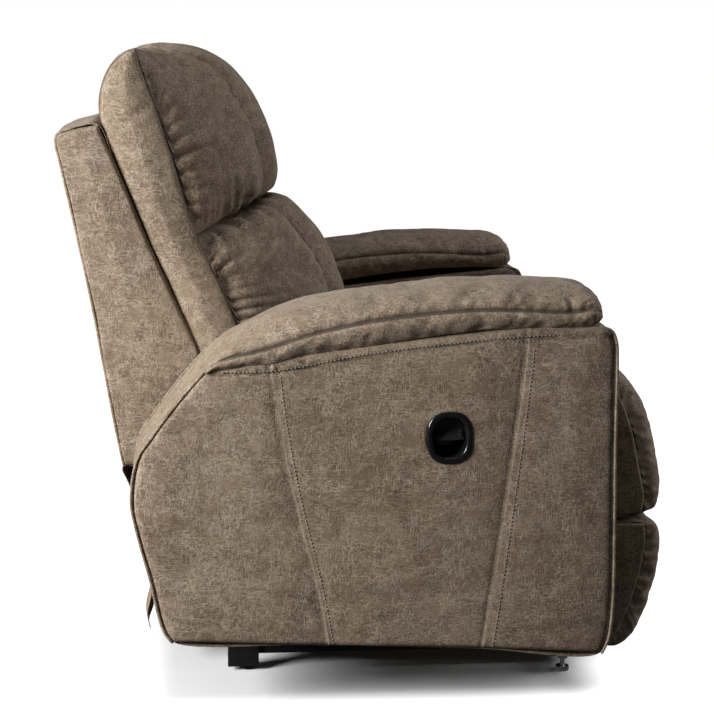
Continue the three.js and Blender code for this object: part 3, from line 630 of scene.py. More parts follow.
ARM_REAR_RAIL = outline(
    (-316, 119), (-330, 140), (-350, 222), (-370, 301), (-377, 345), (-367, 408), (-347, 439),
    (-301, 500), (-264, 542),
)
ARM_REAR_SEAM = outline((-75, 107), (-93, 200), (-132, 360), (-156, 495), (-163, 566))
ARM_FRONT_SEAM = outline((164, 97), (193, 306), (214, 463), (230, 606))
ARM_FRONT_RAIL = outline(
    (351, 84), (362, 110), (367, 160), (367, 295), (365, 429), (365, 550), (363, 580), (355, 597),
    (333, 604),
)
ARM_STITCH_LINE = outline((-255, 537), (-162, 538), (-18, 562), (104, 576), (226, 586), (350, 588))
ARM_UNDERSIDE = outline((-100, 109), (150, 97))
ARM_TOP = outline((150, 603), (0, 582), (-150, 560))
ARM_COLUMNS = (26, 44, 22)
ARM_ROWS = 70
LINING_GRID = 40
PANEL_DEPTH = 18 * MM
PANEL_CROWN = 5 * MM
LINING_DEPTH = 14 * MM
LINING_CROWN = 3 * MM
BAND_INSET = 6 * MM
BAND_CROWN = 2 * MM
WELT_INSET = 3 * MM
WELT_RADIUS = 2.5 * MM
WELT_POINTS = 150
HOLE_SHARE = 0.90

low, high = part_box("release_cup")
cup_x, cup_z = (low.x + high.x) / 2, (low.z + high.z) / 2
cup_rx, cup_rz = (high.x - low.x) / 2, (high.z - low.z) / 2
cup_hole = (cup_x, cup_z, cup_rx * HOLE_SHARE, cup_rz * HOLE_SHARE)

for hand, sign in (("right", -1), ("left", 1)):
    low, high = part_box(f"arm_cover_{hand}")
    outer = low.y if sign < 0 else high.y
    inner = high.y if sign < 0 else low.y
    seams = (ARM_COLUMNS[0], ARM_COLUMNS[0] + ARM_COLUMNS[1])
    rails = [ARM_REAR_RAIL, ARM_REAR_SEAM, ARM_FRONT_SEAM, ARM_FRONT_RAIL]
    side, front = side_panel(
        f"arm_outer_{hand}", rails, ARM_COLUMNS, ARM_ROWS, outer, -sign * PANEL_DEPTH, PANEL_CROWN, "base",
        seams=seams, radius=12 * MM, band=ARM_STITCH_LINE, hole=cup_hole if sign < 0 else None, seed=11,
    )
    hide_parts(f"arm_cover_{hand}")
    side_panel(
        f"arm_inner_{hand}", [ARM_REAR_RAIL, ARM_FRONT_RAIL], (LINING_GRID,), LINING_GRID, inner,
        sign * LINING_DEPTH, LINING_CROWN, "base", seed=21,
    )
    loop = [*ARM_REAR_RAIL[::-1], *ARM_UNDERSIDE, *ARM_FRONT_RAIL, *ARM_TOP]
    sides = (outer - sign * BAND_INSET, inner + sign * BAND_INSET)
    edge_band(f"arm_band_{hand}", loop, sides, BAND_CROWN, "base", seed=31)
    for where, rail in (("rear", ARM_REAR_RAIL), ("front", ARM_FRONT_RAIL)):
        for place, y in (("outer", outer - sign * WELT_INSET), ("inner", inner + sign * WELT_INSET)):
            line = smooth_line(rail, WELT_POINTS)
            path = np.stack([line[:, 0], np.full(WELT_POINTS, y), line[:, 1]], -1)
            points, faces = cord_round(path, WELT_RADIUS)
            name = f"arm_welt_{where}_{place}_{hand}"
            piece(name, points, faces, suede, "base", levels=0)
    for number, column in enumerate(seams):
        path = front[2:-8, column + 3] + (0, sign * 0.3 * MM, 0)
        stitches(f"arm_stitch_{'ab'[number]}_{hand}", path, (0, sign, 0), "base")
    line = smooth_line(ARM_STITCH_LINE, 200)[6:-4]
    for number, offset in enumerate((-3.5 * MM, 4.5 * MM)):
        proud = np.full(len(line), outer + sign * (1.0 + 2.4 * number) * MM)
        path = np.stack([line[:, 0], proud, line[:, 1] + offset], -1)
        stitches(f"arm_band_stitch_{'ab'[number]}_{hand}", path, (0, sign, 0), "base")

# ==== Arm pads ======================================================================================
# A stuffed pad lies along the top of each arm. Its side strip and its crowned top meet at a seam on
# either side, and the top is gathered into that seam.

PAD_ROWS = 110
PAD_TOP = outline(
    (-266, 541), (-251, 560), (-210, 591), (-149, 623), (-119, 633), (-58, 646), (2, 652), (63, 660),
    (124, 666), (186, 668), (248, 666), (304, 663), (326, 659), (339, 648), (345, 630), (345, 619),
)
PAD_SIDE_SEAM = outline(
    (-264, 541), (-244, 560), (-174, 577), (-103, 600), (-19, 618), (67, 629), (152, 634), (216, 633),
    (289, 629), (328, 632), (341, 622),
)
PAD_BOTTOM = outline(
    (-264, 540), (-246, 542), (-174, 549), (-103, 562), (-18, 577), (67, 589), (153, 599), (240, 603),
    (312, 603), (332, 606), (341, 616),
)
END_SEAM = 0.329
PLEATS = (
    (-0.02, 0.25, 20), (0.030, 0.2, 24), (0.082, 0.30, 26), (0.139, 0.35, 38), (0.203, 0.30, 34),
    (0.222, 0.30, 30), (0.286, 0.25, 34),
)


def inflated(points, faces, held, cap, spare=0.05, frames=20):
    """The points after a cloth simulation without gravity. The cloth is larger by spare, and no point
    moves further than cap.
    """
    mesh = bpy.data.meshes.new("inflating")
    mesh.from_pydata(points.tolist(), [], outward(points, faces).tolist())
    body = added("inflating", mesh)
    body.vertex_groups.new(name="held").add(np.flatnonzero(held).tolist(), 1.0, "REPLACE")
    cloth = body.modifiers.new("cloth", "CLOTH")
    cloth.settings.quality = 4
    cloth.settings.use_pressure = True
    cloth.settings.uniform_pressure_force = 4
    cloth.settings.vertex_group_mass = "held"
    cloth.settings.shrink_min = -spare
    cloth.settings.effector_weights.gravity = 0
    cloth.collision_settings.use_collision = False
    cloth.point_cache.frame_start = 1
    cloth.point_cache.frame_end = frames
    for moment in range(1, frames + 1):
        bpy.context.scene.frame_set(moment)
    shaped = body.evaluated_get(bpy.context.evaluated_depsgraph_get()).data
    flat = np.zeros(len(points) * 3)
    shaped.vertices.foreach_get("co", flat)
    bpy.data.objects.remove(body)
    bpy.context.scene.frame_set(1)
    moved = flat.reshape(-1, 3) - points
    far = np.linalg.norm(moved, axis=1, keepdims=True)
    return points + moved * np.minimum(1, cap / np.maximum(far, 1e-9))


def folds(along, away, depth, reach, spacing, seed):
    """Gathers that run away from a seam: sharp valleys between round ridges, dying out over reach."""
    draw = np.random.default_rng(seed)
    lean = along + away * 0.35 * waves(along[..., None], spacing * 9, seed + 7)
    ripple = sum(
        np.sin(2 * math.pi * lean / (spacing * size) + start)
        for size, start in zip(draw.uniform(0.8, 2.6, 5), draw.uniform(0, 6.28, 5))
    )
    share = 0.45 + 0.55 * np.clip(waves(along[..., None], spacing * 5, seed + 3) + 0.3, 0, 1)
    return depth * share * np.exp(-away / (reach * (0.6 + share))) * (np.abs(ripple) ** 0.6 - 1.1)


def evened(change, rounds=40):
    """The slow part of a displacement on a grid: each point averaged with its neighbours many times."""
    slow = change
    for _ in range(rounds):
        slow = (slow + np.roll(slow, 1, 0) + np.roll(slow, -1, 0)) / 3
        inside = (slow[:, :-2] + slow[:, 1:-1] + slow[:, 2:]) / 3
        slow = np.concatenate([slow[:, :1], inside, slow[:, -1:]], axis=1)
    return slow


def lengths(grid, axis):
    """Distance travelled along one axis of a grid of points, from its first row or column."""
    steps = np.linalg.norm(np.diff(grid, axis=axis), axis=-1)
    start = np.zeros_like(steps.take([0], axis))
    return np.concatenate([start, np.cumsum(steps, axis)], axis)


def arm_pad(outer, inner):
    """Sections across the arm, from its rear point to its nose: a superellipse top over two bowed sides."""
    share = eased(PAD_ROWS, 0.8)[:, None]
    even = np.linspace(0, 1, 400)
    top, seam, bottom = (
        np.stack([np.interp(share[:, 0], even, column) for column in smooth_line(line, 400).T], -1)
        for line in (PAD_TOP, PAD_SIDE_SEAM, PAD_BOTTOM)
    )
    x = seam[:, :1]
    top_z, seam_z, low_z = (
        np.interp(x[:, 0], line[:, 0], line[:, 1])[:, None] for line in (top, seam, bottom)
    )
    top_z[[0, -1]] = seam_z[[0, -1]] + 0.5 * MM
    middle, half = (outer + inner) / 2, abs(outer - inner) / 2 + 2 * MM
    nose = np.clip((x[-1] - x) / (46 * MM), 0, 1)
    narrow = half * (1 - 0.10 * (1 - np.sqrt(1 - (1 - nose) ** 2)))
    turn = np.linspace(0, math.pi, 44)
    y_top = -np.sign(np.cos(turn)) * np.abs(np.cos(turn)) ** (2 / 2.5) * narrow
    z_top = seam_z + (top_z - seam_z) * np.abs(np.sin(turn)) ** (2 / 2.5)
    down = np.linspace(0, 1, 14)[1:-1]
    bow = 5.5 * MM * np.sin(math.pi * down) - 9 * MM * down**3
    y_side = narrow + bow * np.clip((seam_z - low_z) / (25 * MM), 0, 1)
    z_side = seam_z + (low_z - seam_z) * down
    floor = np.linspace(1, -1, 22)
    y_low = floor * (narrow - 9 * MM)
    z_low = low_z + 0 * y_low
    y = np.hstack([y_top, y_side, y_low, -y_side[:, ::-1]])
    z = np.hstack([z_top, z_side, z_low, z_side[:, ::-1]])
    grid = np.stack([x + 0 * y, middle + y, z], -1)
    rows, columns = y.shape
    number = np.arange(rows * columns).reshape(rows, columns)
    ring = np.hstack([number, number[:, :1]])
    faces = np.concatenate([quads(ring), lid(number[0]), lid(number[-1][::-1])])
    faces = outward(grid.reshape(-1, 3), faces)
    seam_columns = (0, len(turn) - 1)
    held = np.zeros((rows, columns), bool)
    held[:, list(seam_columns)] = True
    held[:, len(turn) + 12 : len(turn) + 34] = True
    held[:2] = held[-2:] = True
    puffed = inflated(grid.reshape(-1, 3), faces, held.ravel(), 20 * MM).reshape(grid.shape)
    change = puffed - grid
    grid = grid + 0.45 * (change - 0.95 * evened(change))
    along = lengths(grid, 0)[:, :1] + np.zeros((rows, columns))
    round_ring = lengths(grid, 1)
    width = round_ring[:, len(turn) - 1 : len(turn)]
    over = np.clip(np.minimum(round_ring, width - round_ring), 0, None)
    under = np.clip(np.minimum(round_ring - width, round_ring[:, -1:] - round_ring), 0, None)
    on_top = np.arange(columns) < len(turn)
    away = np.where(on_top, over, under)
    normals = normals_of(grid.reshape(-1, 3), faces).reshape(grid.shape)
    ease = np.clip(np.minimum(x - x[0], x[-1] - x) / (30 * MM), 0, 1)
    front_share = np.clip((x + 0.16) / 0.3, 0.25, 1)
    lift = folds(along, over, 1.7 * MM, 16 * MM, 17 * MM, 41) * on_top * front_share
    lift += folds(along, under, 0.6 * MM, 10 * MM, 15 * MM, 43) * ~on_top
    uneven = 1.1 * MM * waves(grid, 90 * MM, 45) + 0.3 * MM * waves(grid, 28 * MM, 46)
    lift += uneven * np.clip(away / (15 * MM), 0, 1)
    lift -= 3.0 * MM * np.exp(-((away / (3.0 * MM)) ** 2))
    for place, lean, reach in PLEATS:
        across = x - place + lean * over
        fade = on_top * np.clip(over / (4 * MM), 0, 1) * np.exp(-((over / (reach * MM)) ** 2))
        lift += 2.6 * MM * fade * np.exp(-((across / (2.6 * MM)) ** 2))
        lift -= 2.6 * MM * fade * np.exp(-(((across - 6 * MM) / (3.4 * MM)) ** 2))
    end_seam = np.exp(-(((x - END_SEAM) / (1.8 * MM)) ** 2)) * ~on_top
    lift -= 2.2 * MM * end_seam
    grid = grid + normals * (lift * ease)[..., None]
    # Painted shade along the pad's side seams and its end seam.
    painted_light = np.maximum(1.1 * np.exp(-((away / (2.8 * MM)) ** 2)) * ease, 0.7 * end_seam)
    return grid.reshape(-1, 3), faces, painted_light.ravel()


for hand, sign in (("right", -1), ("left", 1)):
    low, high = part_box(f"arm_pad_{hand}")
    if sign < 0:
        points, faces, painted_light = arm_pad(low.y, high.y)
        right_pad = points
    else:
        points = right_pad * (1, -1, 1)
    pad = piece(f"arm_pad_cover_{hand}", points, faces, suede, "base", {"seam": painted_light})
    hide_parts(f"arm_pad_{hand}")

# ==== Back shell ====================================================================================
# The back is a wooden frame closed by a padded cloth shell: two flat sides, and one strip over the
# rear, the top and the bottom. A piped welt runs up each rear edge.

SHELL_REAR_RAIL = outline(
    (-396, 350), (-408, 412), (-447, 641), (-488, 840), (-495.5, 876), (-494.5, 886), (-487, 893),
)
SHELL_FRONT_RAIL = outline(
    (-262, 350), (-262, 430), (-264, 517), (-309, 623), (-348, 712), (-400, 840), (-428, 905),
)
SHELL_MIDDLE_RAIL = outline((-330, 350), (-345, 450), (-380, 620), (-430, 800), (-465, 899))
SHELL_TOP = outline((-465, 900))
SHELL_DEPTH = 16 * MM
SHELL_CROWN = 4 * MM
SHELL_INSET = 5 * MM
SHELL_BOW = 5 * MM

low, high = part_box("back_shell")
for hand, y, sign in (("right", low.y, -1), ("left", high.y, 1)):
    side_panel(
        f"shell_side_{hand}", [SHELL_REAR_RAIL, SHELL_MIDDLE_RAIL, SHELL_FRONT_RAIL], (16, 20), 60, y,
        -sign * SHELL_DEPTH, SHELL_CROWN, "back", radius=7 * MM, seed=51,
    )
    line = smooth_line([*SHELL_REAR_RAIL, *SHELL_TOP], WELT_POINTS)
    path = np.stack([line[:, 0] + 1.5 * MM, np.full(WELT_POINTS, y - sign * WELT_RADIUS), line[:, 1]], -1)
    points, faces = cord_round(path, WELT_RADIUS)
    piece(f"shell_welt_{hand}", points, faces, suede, "back", levels=0)
loop = [*SHELL_REAR_RAIL, *SHELL_TOP, *SHELL_FRONT_RAIL[::-1]]
sides = (low.y + SHELL_INSET, high.y - SHELL_INSET)
shell = edge_band("shell_band", loop, sides, SHELL_BOW, "back", columns=60, seed=53)
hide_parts("back_shell")

# ==== Head and lumbar cushions ======================================================================
# The front of the back is two filled compartments, a head roll over a lumbar roll, each quilted into
# three upright channels. Side strips join them to the shell, and the fronts are gathered into them.

CHANNEL = 0.090


def section(parts):
    """A closed section in (X, Z) from stretches of points, each with its own number of rows."""
    return np.concatenate([smooth_line(points, rows + 1)[:-1] for points, rows in parts])


def cushion(name, centre, side, half, columns, body, cap, replaced, seam_rows, fullness=2.2,
            channel_depth=9 * MM, fold=4 * MM, fold_reach=30 * MM, fold_spacing=20 * MM, seed=61,
            pinch_rows=(), loose=1.0):
    """A stuffed form across Y: each section runs from the middle one to the side one by |y/half|^fullness.

    The rows in seam_rows show. Cloth is simulated between the sides and the channels, the slow part of
    its swelling is taken back so that the form keeps its size, and then seams and gathers are pressed in.
    """
    middle, edge = section(centre), section(side)
    t = np.linspace(-1, 1, columns)
    y = half * np.sin(t * 1.2) / math.sin(1.2)
    for channel_y in (-CHANNEL, CHANNEL):
        y[np.abs(y - channel_y).argmin()] = channel_y
    share = np.abs(y / half)[None, :, None] ** fullness
    flat = middle[:, None] * (1 - share) + edge[:, None] * share
    grid = np.stack([flat[..., 0], np.broadcast_to(y, flat.shape[:2]), flat[..., 1]], -1)
    rows = len(middle)
    number = np.arange(rows * columns).reshape(rows, columns)
    skin = quads(np.vstack([number, number[:1]]))
    ends = (lid(number[:, 0]), lid(number[::-1, -1]))
    faces = outward(grid.reshape(-1, 3), np.concatenate([skin, *ends]))
    shown = np.zeros(rows, bool)
    shown[seam_rows[0] : seam_rows[1]] = True
    held = np.zeros((rows, columns), bool)
    held[~shown] = True
    held[:, [0, -1]] = True
    off_channel = np.abs(np.abs(y) - CHANNEL)
    on_channel = off_channel < 4 * MM
    held[:, on_channel] = True
    puffed = inflated(grid.reshape(-1, 3), faces, held.ravel(), cap).reshape(grid.shape)
    change = puffed - grid
    grid = grid + loose * (change - 0.95 * evened(change))
    normals = normals_of(grid.reshape(-1, 3), faces).reshape(grid.shape)
    along = lengths(grid, 0)
    across = lengths(grid, 1)
    away = np.minimum(across, across[:, -1:] - across)
    fade = np.zeros(rows)
    count = seam_rows[1] - seam_rows[0]
    from_end = np.minimum(np.arange(count), np.arange(count)[::-1])
    fade[seam_rows[0] : seam_rows[1]] = np.clip(from_end / 7, 0, 1)
    fade = fade[:, None]
    channel = np.broadcast_to(off_channel, away.shape)
    lift = folds(along[:, :1] + 0 * along, away, fold, fold_reach, fold_spacing, seed)
    lift += folds(along, channel, fold * 0.32, fold_reach * 0.6, fold_spacing * 1.1, seed + 1)
    lift += 5 * MM * (1 - np.exp(-((away / (20 * MM)) ** 2))) - 5 * MM
    lift -= channel_depth * np.exp(-((channel / (19 * MM)) ** 2))
    lift -= 4.5 * MM * np.exp(-((channel / (2.6 * MM)) ** 2))
    lift += 1.8 * MM * waves(grid, 120 * MM, seed + 2) + 0.7 * MM * waves(grid, 38 * MM, seed + 3)
    for row, reach in pinch_rows:
        near = np.abs(along - along[row])
        lift += folds(across, near, fold * 1.2, reach, fold_spacing * 1.5, seed + 5)
    grid = grid + normals * (lift * fade)[..., None]
    # Painted shade along the side seams and the channel seams.
    seam_shade = 1.2 * np.exp(-((away / (6 * MM)) ** 2))
    painted_light = np.maximum(1.1 * np.exp(-((channel / (3 * MM)) ** 2)), seam_shade) * fade
    made = piece(name, grid.reshape(-1, 3), faces, suede, body, {"seam": painted_light.ravel()})
    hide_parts(*replaced)


HEAD_HIDDEN = outline((-205, 756), (-290, 750), (-362, 754), (-381, 793), (-400, 840), (-419, 893))
HEAD_REAR = outline((-419, 893), (-428, 930), (-424, 970), (-404, 1007), (-368, 1028))
HEAD_CROWN = outline(
    (-368, 1028), (-334, 1033), (-288, 1032), (-255, 1022), (-217, 1000), (-193, 972), (-170, 936),
    (-149, 896), (-137, 855), (-132, 820), (-134, 795), (-143, 780), (-166, 768), (-205, 756),
)
HEAD_SIDE_HIDDEN = outline((-288, 720), (-318, 716), (-352, 726), (-381, 793), (-400, 840), (-417, 893))
HEAD_SIDE_REAR = outline((-417, 893), (-424, 930), (-420, 962), (-406, 994), (-368, 1022))
HEAD_SEAM = outline(
    (-368, 1022), (-355, 985), (-336, 935), (-312, 864), (-291, 784), (-284, 745), (-280, 730),
    (-288, 720),
)
LUMBAR_HIDDEN = outline((-60, 514), (-150, 514), (-255, 520), (-309, 623), (-348, 712), (-362, 748))
LUMBAR_SHELF = outline((-362, 748), (-300, 750), (-205, 751))
LUMBAR_CROWN = outline(
    (-205, 751), (-166, 765), (-138, 773), (-113, 766), (-86, 741), (-58, 706), (-32, 660), (-12, 597),
    (-14, 550), (-30, 524), (-60, 514),
)
LUMBAR_SIDE_HIDDEN = outline((-205, 516), (-225, 514), (-255, 520), (-309, 623), (-338, 690), (-348, 712))
LUMBAR_SIDE_SHELF = outline((-348, 712), (-318, 714), (-288, 716))
LUMBAR_SEAM = outline(
    (-288, 716), (-274, 710), (-262, 694), (-242, 660), (-213, 597), (-200, 550), (-205, 516),
)
BACK_ROWS = (16, 14, 120)
BACK_COLUMNS = 104
BACK_CAP = 24 * MM
HEAD_SHOWN = 22
LUMBAR_SHOWN = 30
HEAD_PINCH = sum(BACK_ROWS) - 11
LUMBAR_PINCH = 44

_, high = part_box("head_cushion")
back_half = high.y - 7 * MM
HEAD = (HEAD_HIDDEN, HEAD_REAR, HEAD_CROWN), (HEAD_SIDE_HIDDEN, HEAD_SIDE_REAR, HEAD_SEAM)
LUMBAR = (LUMBAR_HIDDEN, LUMBAR_SHELF, LUMBAR_CROWN), (LUMBAR_SIDE_HIDDEN, LUMBAR_SIDE_SHELF, LUMBAR_SEAM)
for place, (middle, edge), shown, pinched, seed, loose in (
    ("head", HEAD, HEAD_SHOWN, HEAD_PINCH, 61, 0.6),
    ("lumbar", LUMBAR, LUMBAR_SHOWN, LUMBAR_PINCH, 71, 0.5),
):
    cushion(
        f"{place}_roll", zip(middle, BACK_ROWS), zip(edge, BACK_ROWS), back_half, BACK_COLUMNS, "back",
        BACK_CAP, [f"{place}_cushion"], (shown, sum(BACK_ROWS)), seed=seed, fold=7.5 * MM,
        fold_reach=28 * MM, fold_spacing=24 * MM, pinch_rows=((pinched, 30 * MM),), loose=loose,
    )

GUSSET_REAR = outline(
    (-270, 505), (-311, 623), (-350, 712), (-383, 793), (-402, 840), (-421, 896), (-427, 932),
    (-422, 966), (-408, 996), (-380, 1021),
)
GUSSET_FRONT = outline(
    (-190, 505), (-208, 580), (-240, 663), (-270, 721), (-291, 784), (-312, 864), (-336, 935),
    (-353, 982), (-366, 1024),
)
GUSSET_NICK = [((-0.345, 0.935), (-0.384, 0.911))]
GUSSET_DEPTH = 16 * MM
GUSSET_CROWN = 15 * MM

for hand, sign in (("right", -1), ("left", 1)):
    # Each strip's border gets painted shade where it turns in against the cushions.
    strip, _ = side_panel(
        f"back_gusset_{hand}", [GUSSET_REAR, GUSSET_FRONT], (26,), 90, sign * back_half,
        -sign * GUSSET_DEPTH, GUSSET_CROWN, "back", radius=9 * MM, nicks=GUSSET_NICK, edge_shade=1.1,
        seed=81,
    )

# ==== Seat cushion ==================================================================================
# A deep foam cushion on springs, with a rolled front edge and the same two channel seams as the back.

low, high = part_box("seat_cushion")
SEAT_HIDDEN = [
    (low.x, low.z + 0.012), (low.x + 0.010, low.z), (-0.05, low.z), (0.15, low.z),
    (high.x - 0.03, low.z), (high.x - 0.006, low.z + 0.015),
]
SEAT_ROLL = [
    (high.x - 0.006, low.z + 0.015), (high.x, low.z + 0.045), (high.x - 0.004, high.z - 0.050),
    (high.x - 0.026, high.z - 0.020), (high.x - 0.075, high.z - 0.004),
]
SEAT_TOP = [
    (high.x - 0.075, high.z - 0.004), (0.15, high.z), (0.0, high.z - 0.006), (-0.12, high.z - 0.012),
    (low.x + 0.014, high.z - 0.022), (low.x, high.z - 0.040), (low.x, low.z + 0.012),
]


def lowered(points, amount, base):
    """The same outline with its height above base made smaller by that share."""
    return [(x, base + (z - base) * amount) for x, z in points]


SEAT_ROWS = (30, 26, 74)
SEAT_SHOWN = (30, 118)
SEAT_CAP = 26 * MM
EDGE_HEIGHT = 0.80

seat_edge = (SEAT_HIDDEN, lowered(SEAT_ROLL, EDGE_HEIGHT, low.z), lowered(SEAT_TOP, EDGE_HEIGHT, low.z))
cushion(
    "seat_pad",
    zip((SEAT_HIDDEN, SEAT_ROLL, SEAT_TOP), SEAT_ROWS),
    zip(seat_edge, SEAT_ROWS),
    high.y, BACK_COLUMNS, "seat", SEAT_CAP, ["seat_cushion"], SEAT_SHOWN, fullness=6, seed=91, fold=3 * MM,
)

# ==== Legrest =======================================================================================
# Two padded panels on the folding board, an upper and a lower one. Each has side strips, and its front
# is gathered into them.

UPPER_HIDDEN = outline((440, 247.5), (415, 247.5), (401, 252), (401, 300), (401, 470), (405, 486))
UPPER_CROWN = outline(
    (405, 486), (420, 490), (447, 472), (474, 431), (490, 386), (502, 322), (505, 282), (499, 257),
    (478, 248), (440, 247.5),
)
UPPER_SIDE_HIDDEN = outline((430, 247.5), (415, 247.5), (401, 252), (401, 300), (401, 455), (404, 470))
UPPER_SEAM = outline(
    (404, 470), (414, 471), (430, 440), (446, 396), (461, 328), (470, 283), (470, 258), (458, 249),
    (430, 247.5),
)
LOWER_HIDDEN = outline((405, 18), (401, 24), (401, 100), (401, 225), (406, 238), (440, 241))
LOWER_CROWN = outline(
    (440, 241), (480, 240), (499, 229), (506, 200), (502, 141), (483, 72), (459, 27), (441, 16),
    (418, 14), (405, 18),
)
LOWER_SIDE_HIDDEN = outline((404, 30), (401, 40), (401, 100), (401, 222), (406, 236), (430, 241))
LOWER_SEAM = outline(
    (430, 241), (460, 241), (474, 228), (475, 205), (469, 164), (450, 95), (430, 48), (420, 34),
    (410, 28), (404, 30),
)
UPPER_GUSSET = (
    outline((403, 250), (403, 350), (403, 474)),
    outline((466, 252), (470, 283), (461, 328), (446, 396), (430, 440), (416, 470)),
)
LOWER_GUSSET = (
    outline((403, 30), (403, 130), (403, 238)),
    outline((420, 34), (430, 48), (450, 95), (469, 164), (475, 205), (472, 236)),
)

REST_ROWS = (34, 66)
REST_COLUMNS = 80
REST_CAP = 14 * MM
REST_GUSSET_DEPTH = 9 * MM
REST_GUSSET_CROWN = 3 * MM

_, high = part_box("legrest_pad_upper")
rest_half = high.y - 5 * MM
for place, middle, edge, seed in (
    ("upper", (UPPER_HIDDEN, UPPER_CROWN), (UPPER_SIDE_HIDDEN, UPPER_SEAM), 101),
    ("lower", (LOWER_HIDDEN, LOWER_CROWN), (LOWER_SIDE_HIDDEN, LOWER_SEAM), 111),
):
    cushion(
        f"legrest_{place}", zip(middle, REST_ROWS), zip(edge, REST_ROWS), rest_half, REST_COLUMNS, "legrest",
        REST_CAP, [f"legrest_pad_{place}"], (REST_ROWS[0] - 2, sum(REST_ROWS)), fullness=20, seed=seed,
        fold=4.5 * MM, fold_reach=18 * MM, channel_depth=5 * MM,
    )
for hand, sign in (("right", -1), ("left", 1)):
    for place, rails in (("upper", UPPER_GUSSET), ("lower", LOWER_GUSSET)):
        strip, _ = side_panel(
            f"legrest_gusset_{place}_{hand}", rails, (14,), 44, sign * rest_half, -sign * REST_GUSSET_DEPTH,
            REST_GUSSET_CROWN, "legrest", radius=4 * MM, seed=121,
        )

# ==== Metal, wood and plastic =======================================================================
# The base, the mechanism and the inner frames keep their own shapes. Steel is powder coated, pins and
# feet are zinc plated, springs are oiled wire, and the frames are plywood.


def powder(place):
    """The orange-peel skin of baked powder: two sizes of soft grain."""
    return (place.noise(420.0, 3.0) * 0.7 + place.noise(1500.0, 2.0) * 0.3).bump(0.35, 0.25 * MM)


def tinted(colour, amount, *noise):
    """A recipe for one colour, with what is left of a grey noise showing through."""
    return lambda place: place.noise(*noise).mix((*colour, 1), amount)


def rough(low, high, *noise):
    """A recipe for a roughness that wanders from low to high."""
    return lambda place: place.noise(*noise).step(0.3, 0.7, low, high)


def dimpled(strength, depth, *noise):
    """A recipe for a fine skin of bumps."""
    return lambda place: place.noise(*noise).bump(strength, depth)


steel = finish_of(
    "powder_coated_steel",
    {"Metallic": 0.0, "Specular IOR Level": 0.3},
    colour=tinted((0.006, 0.006, 0.007), 0.99, 30.0, 4.0),
    roughness=rough(0.34, 0.5, 140.0, 4.0),
    normal=powder,
)
ZINC_STOPS = [(0.0, (0.50, 0.51, 0.53)), (1.0, (0.78, 0.78, 0.76))]
zinc = finish_of(
    "zinc_plate",
    {"Metallic": 1.0},
    colour=lambda place: place.noise(90.0, 4.0).ramp(ZINC_STOPS),
    roughness=rough(0.22, 0.42, 300.0, 4.0),
    normal=dimpled(0.25, 0.15 * MM, 900.0, 3.0),
)
wire = finish_of(
    "oiled_spring_wire",
    {"Metallic": 1.0},
    colour=tinted((0.20, 0.21, 0.23), 0.8, 120.0, 5.0),
    roughness=rough(0.28, 0.5, 180.0, 4.0),
)
WOOD_STOPS = [(0.0, (0.30, 0.19, 0.10)), (0.5, (0.46, 0.32, 0.18)), (1.0, (0.60, 0.45, 0.28))]
WOOD_GRAIN = (40, 40, 3)
WOOD_RIDGES = (60, 60, 6)


def stretched(place, scale):
    """The place scaled by its own amount along each axis."""
    return place.node("ShaderNodeMapping", {}, {"Vector": place, "Scale": scale})


wood = finish_of(
    "sawn_plywood",
    {"Specular IOR Level": 0.3},
    colour=lambda place: stretched(place, WOOD_GRAIN).noise(4.0, 6.0, 0.6).ramp(WOOD_STOPS),
    roughness=rough(0.65, 0.85, 90.0, 4.0),
    normal=lambda place: stretched(place, WOOD_RIDGES).noise(6.0, 5.0).bump(0.4, 0.4 * MM),
)
plastic = finish_of(
    "moulded_black_plastic",
    {"Specular IOR Level": 0.45, "Coat Weight": 0.2, "Coat Roughness": 0.10},
    colour=tinted((0.004, 0.004, 0.005), 0.994, 40.0),
    roughness=rough(0.16, 0.27, 160.0, 4.0),
    normal=dimpled(0.08, 0.1 * MM, 700.0, 2.0),
)

grained = finish_of(
    "grained_black_plastic",
    {"Specular IOR Level": 0.4},
    colour=tinted((0.008, 0.008, 0.009), 0.992, 40.0),
    roughness=rough(0.38, 0.5, 160.0, 4.0),
    normal=dimpled(0.25, 0.12 * MM, 1400.0, 2.0),
)

ZINC_NODES = ("foot_nut", "levelling_foot")
WIRE_NODES = ("seat_spring",)
WOOD_NODES = ("arm_board", "back_frame", "legrest_board", "rear_stretcher")
PLASTIC_NODES = ("release_cup", "release_lever", "release_cable", "roller_wheel")
for name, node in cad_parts.items():
    finish, slot = steel, "black_steel"
    for starts, other, other_slot in (
        (ZINC_NODES, zinc, "zinc"), (WIRE_NODES, wire, "spring_steel"), (WOOD_NODES, wood, "frame_wood"),
        (PLASTIC_NODES, plastic, "black_plastic"),
    ):
        if name.startswith(starts):
            finish, slot = other, other_slot
    node.data.materials.clear()
    node.data.materials.append(finish)

# ==== Release handle ================================================================================
# A moulded oval cup is let into the right arm, with a rolled rim. A curved flap that hangs in its upper
# half is pulled to let the legrest go.

cup_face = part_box("release_cup")[0].y
OVAL_POWER = 0.80


def oval(turn):
    """Points of a squared oval of unit radii at these angles: a circle's, with each coordinate raised
    to a power below one.
    """
    return [np.sign(side) * np.abs(side) ** OVAL_POWER for side in (np.cos(turn), np.sin(turn))]


def oval_turned(profile, count=96):
    """A profile of (share of the oval's radii, depth) points carried round the oval, outer edge first."""
    wide, tall = oval(np.linspace(0, 2 * math.pi, count, endpoint=False))
    share, depth = np.array(profile).T
    return np.stack([
        cup_x + cup_rx * share[:, None] * wide,
        cup_face + depth[:, None] + 0 * wide,
        cup_z + cup_rz * share[:, None] * tall,
    ], -1)


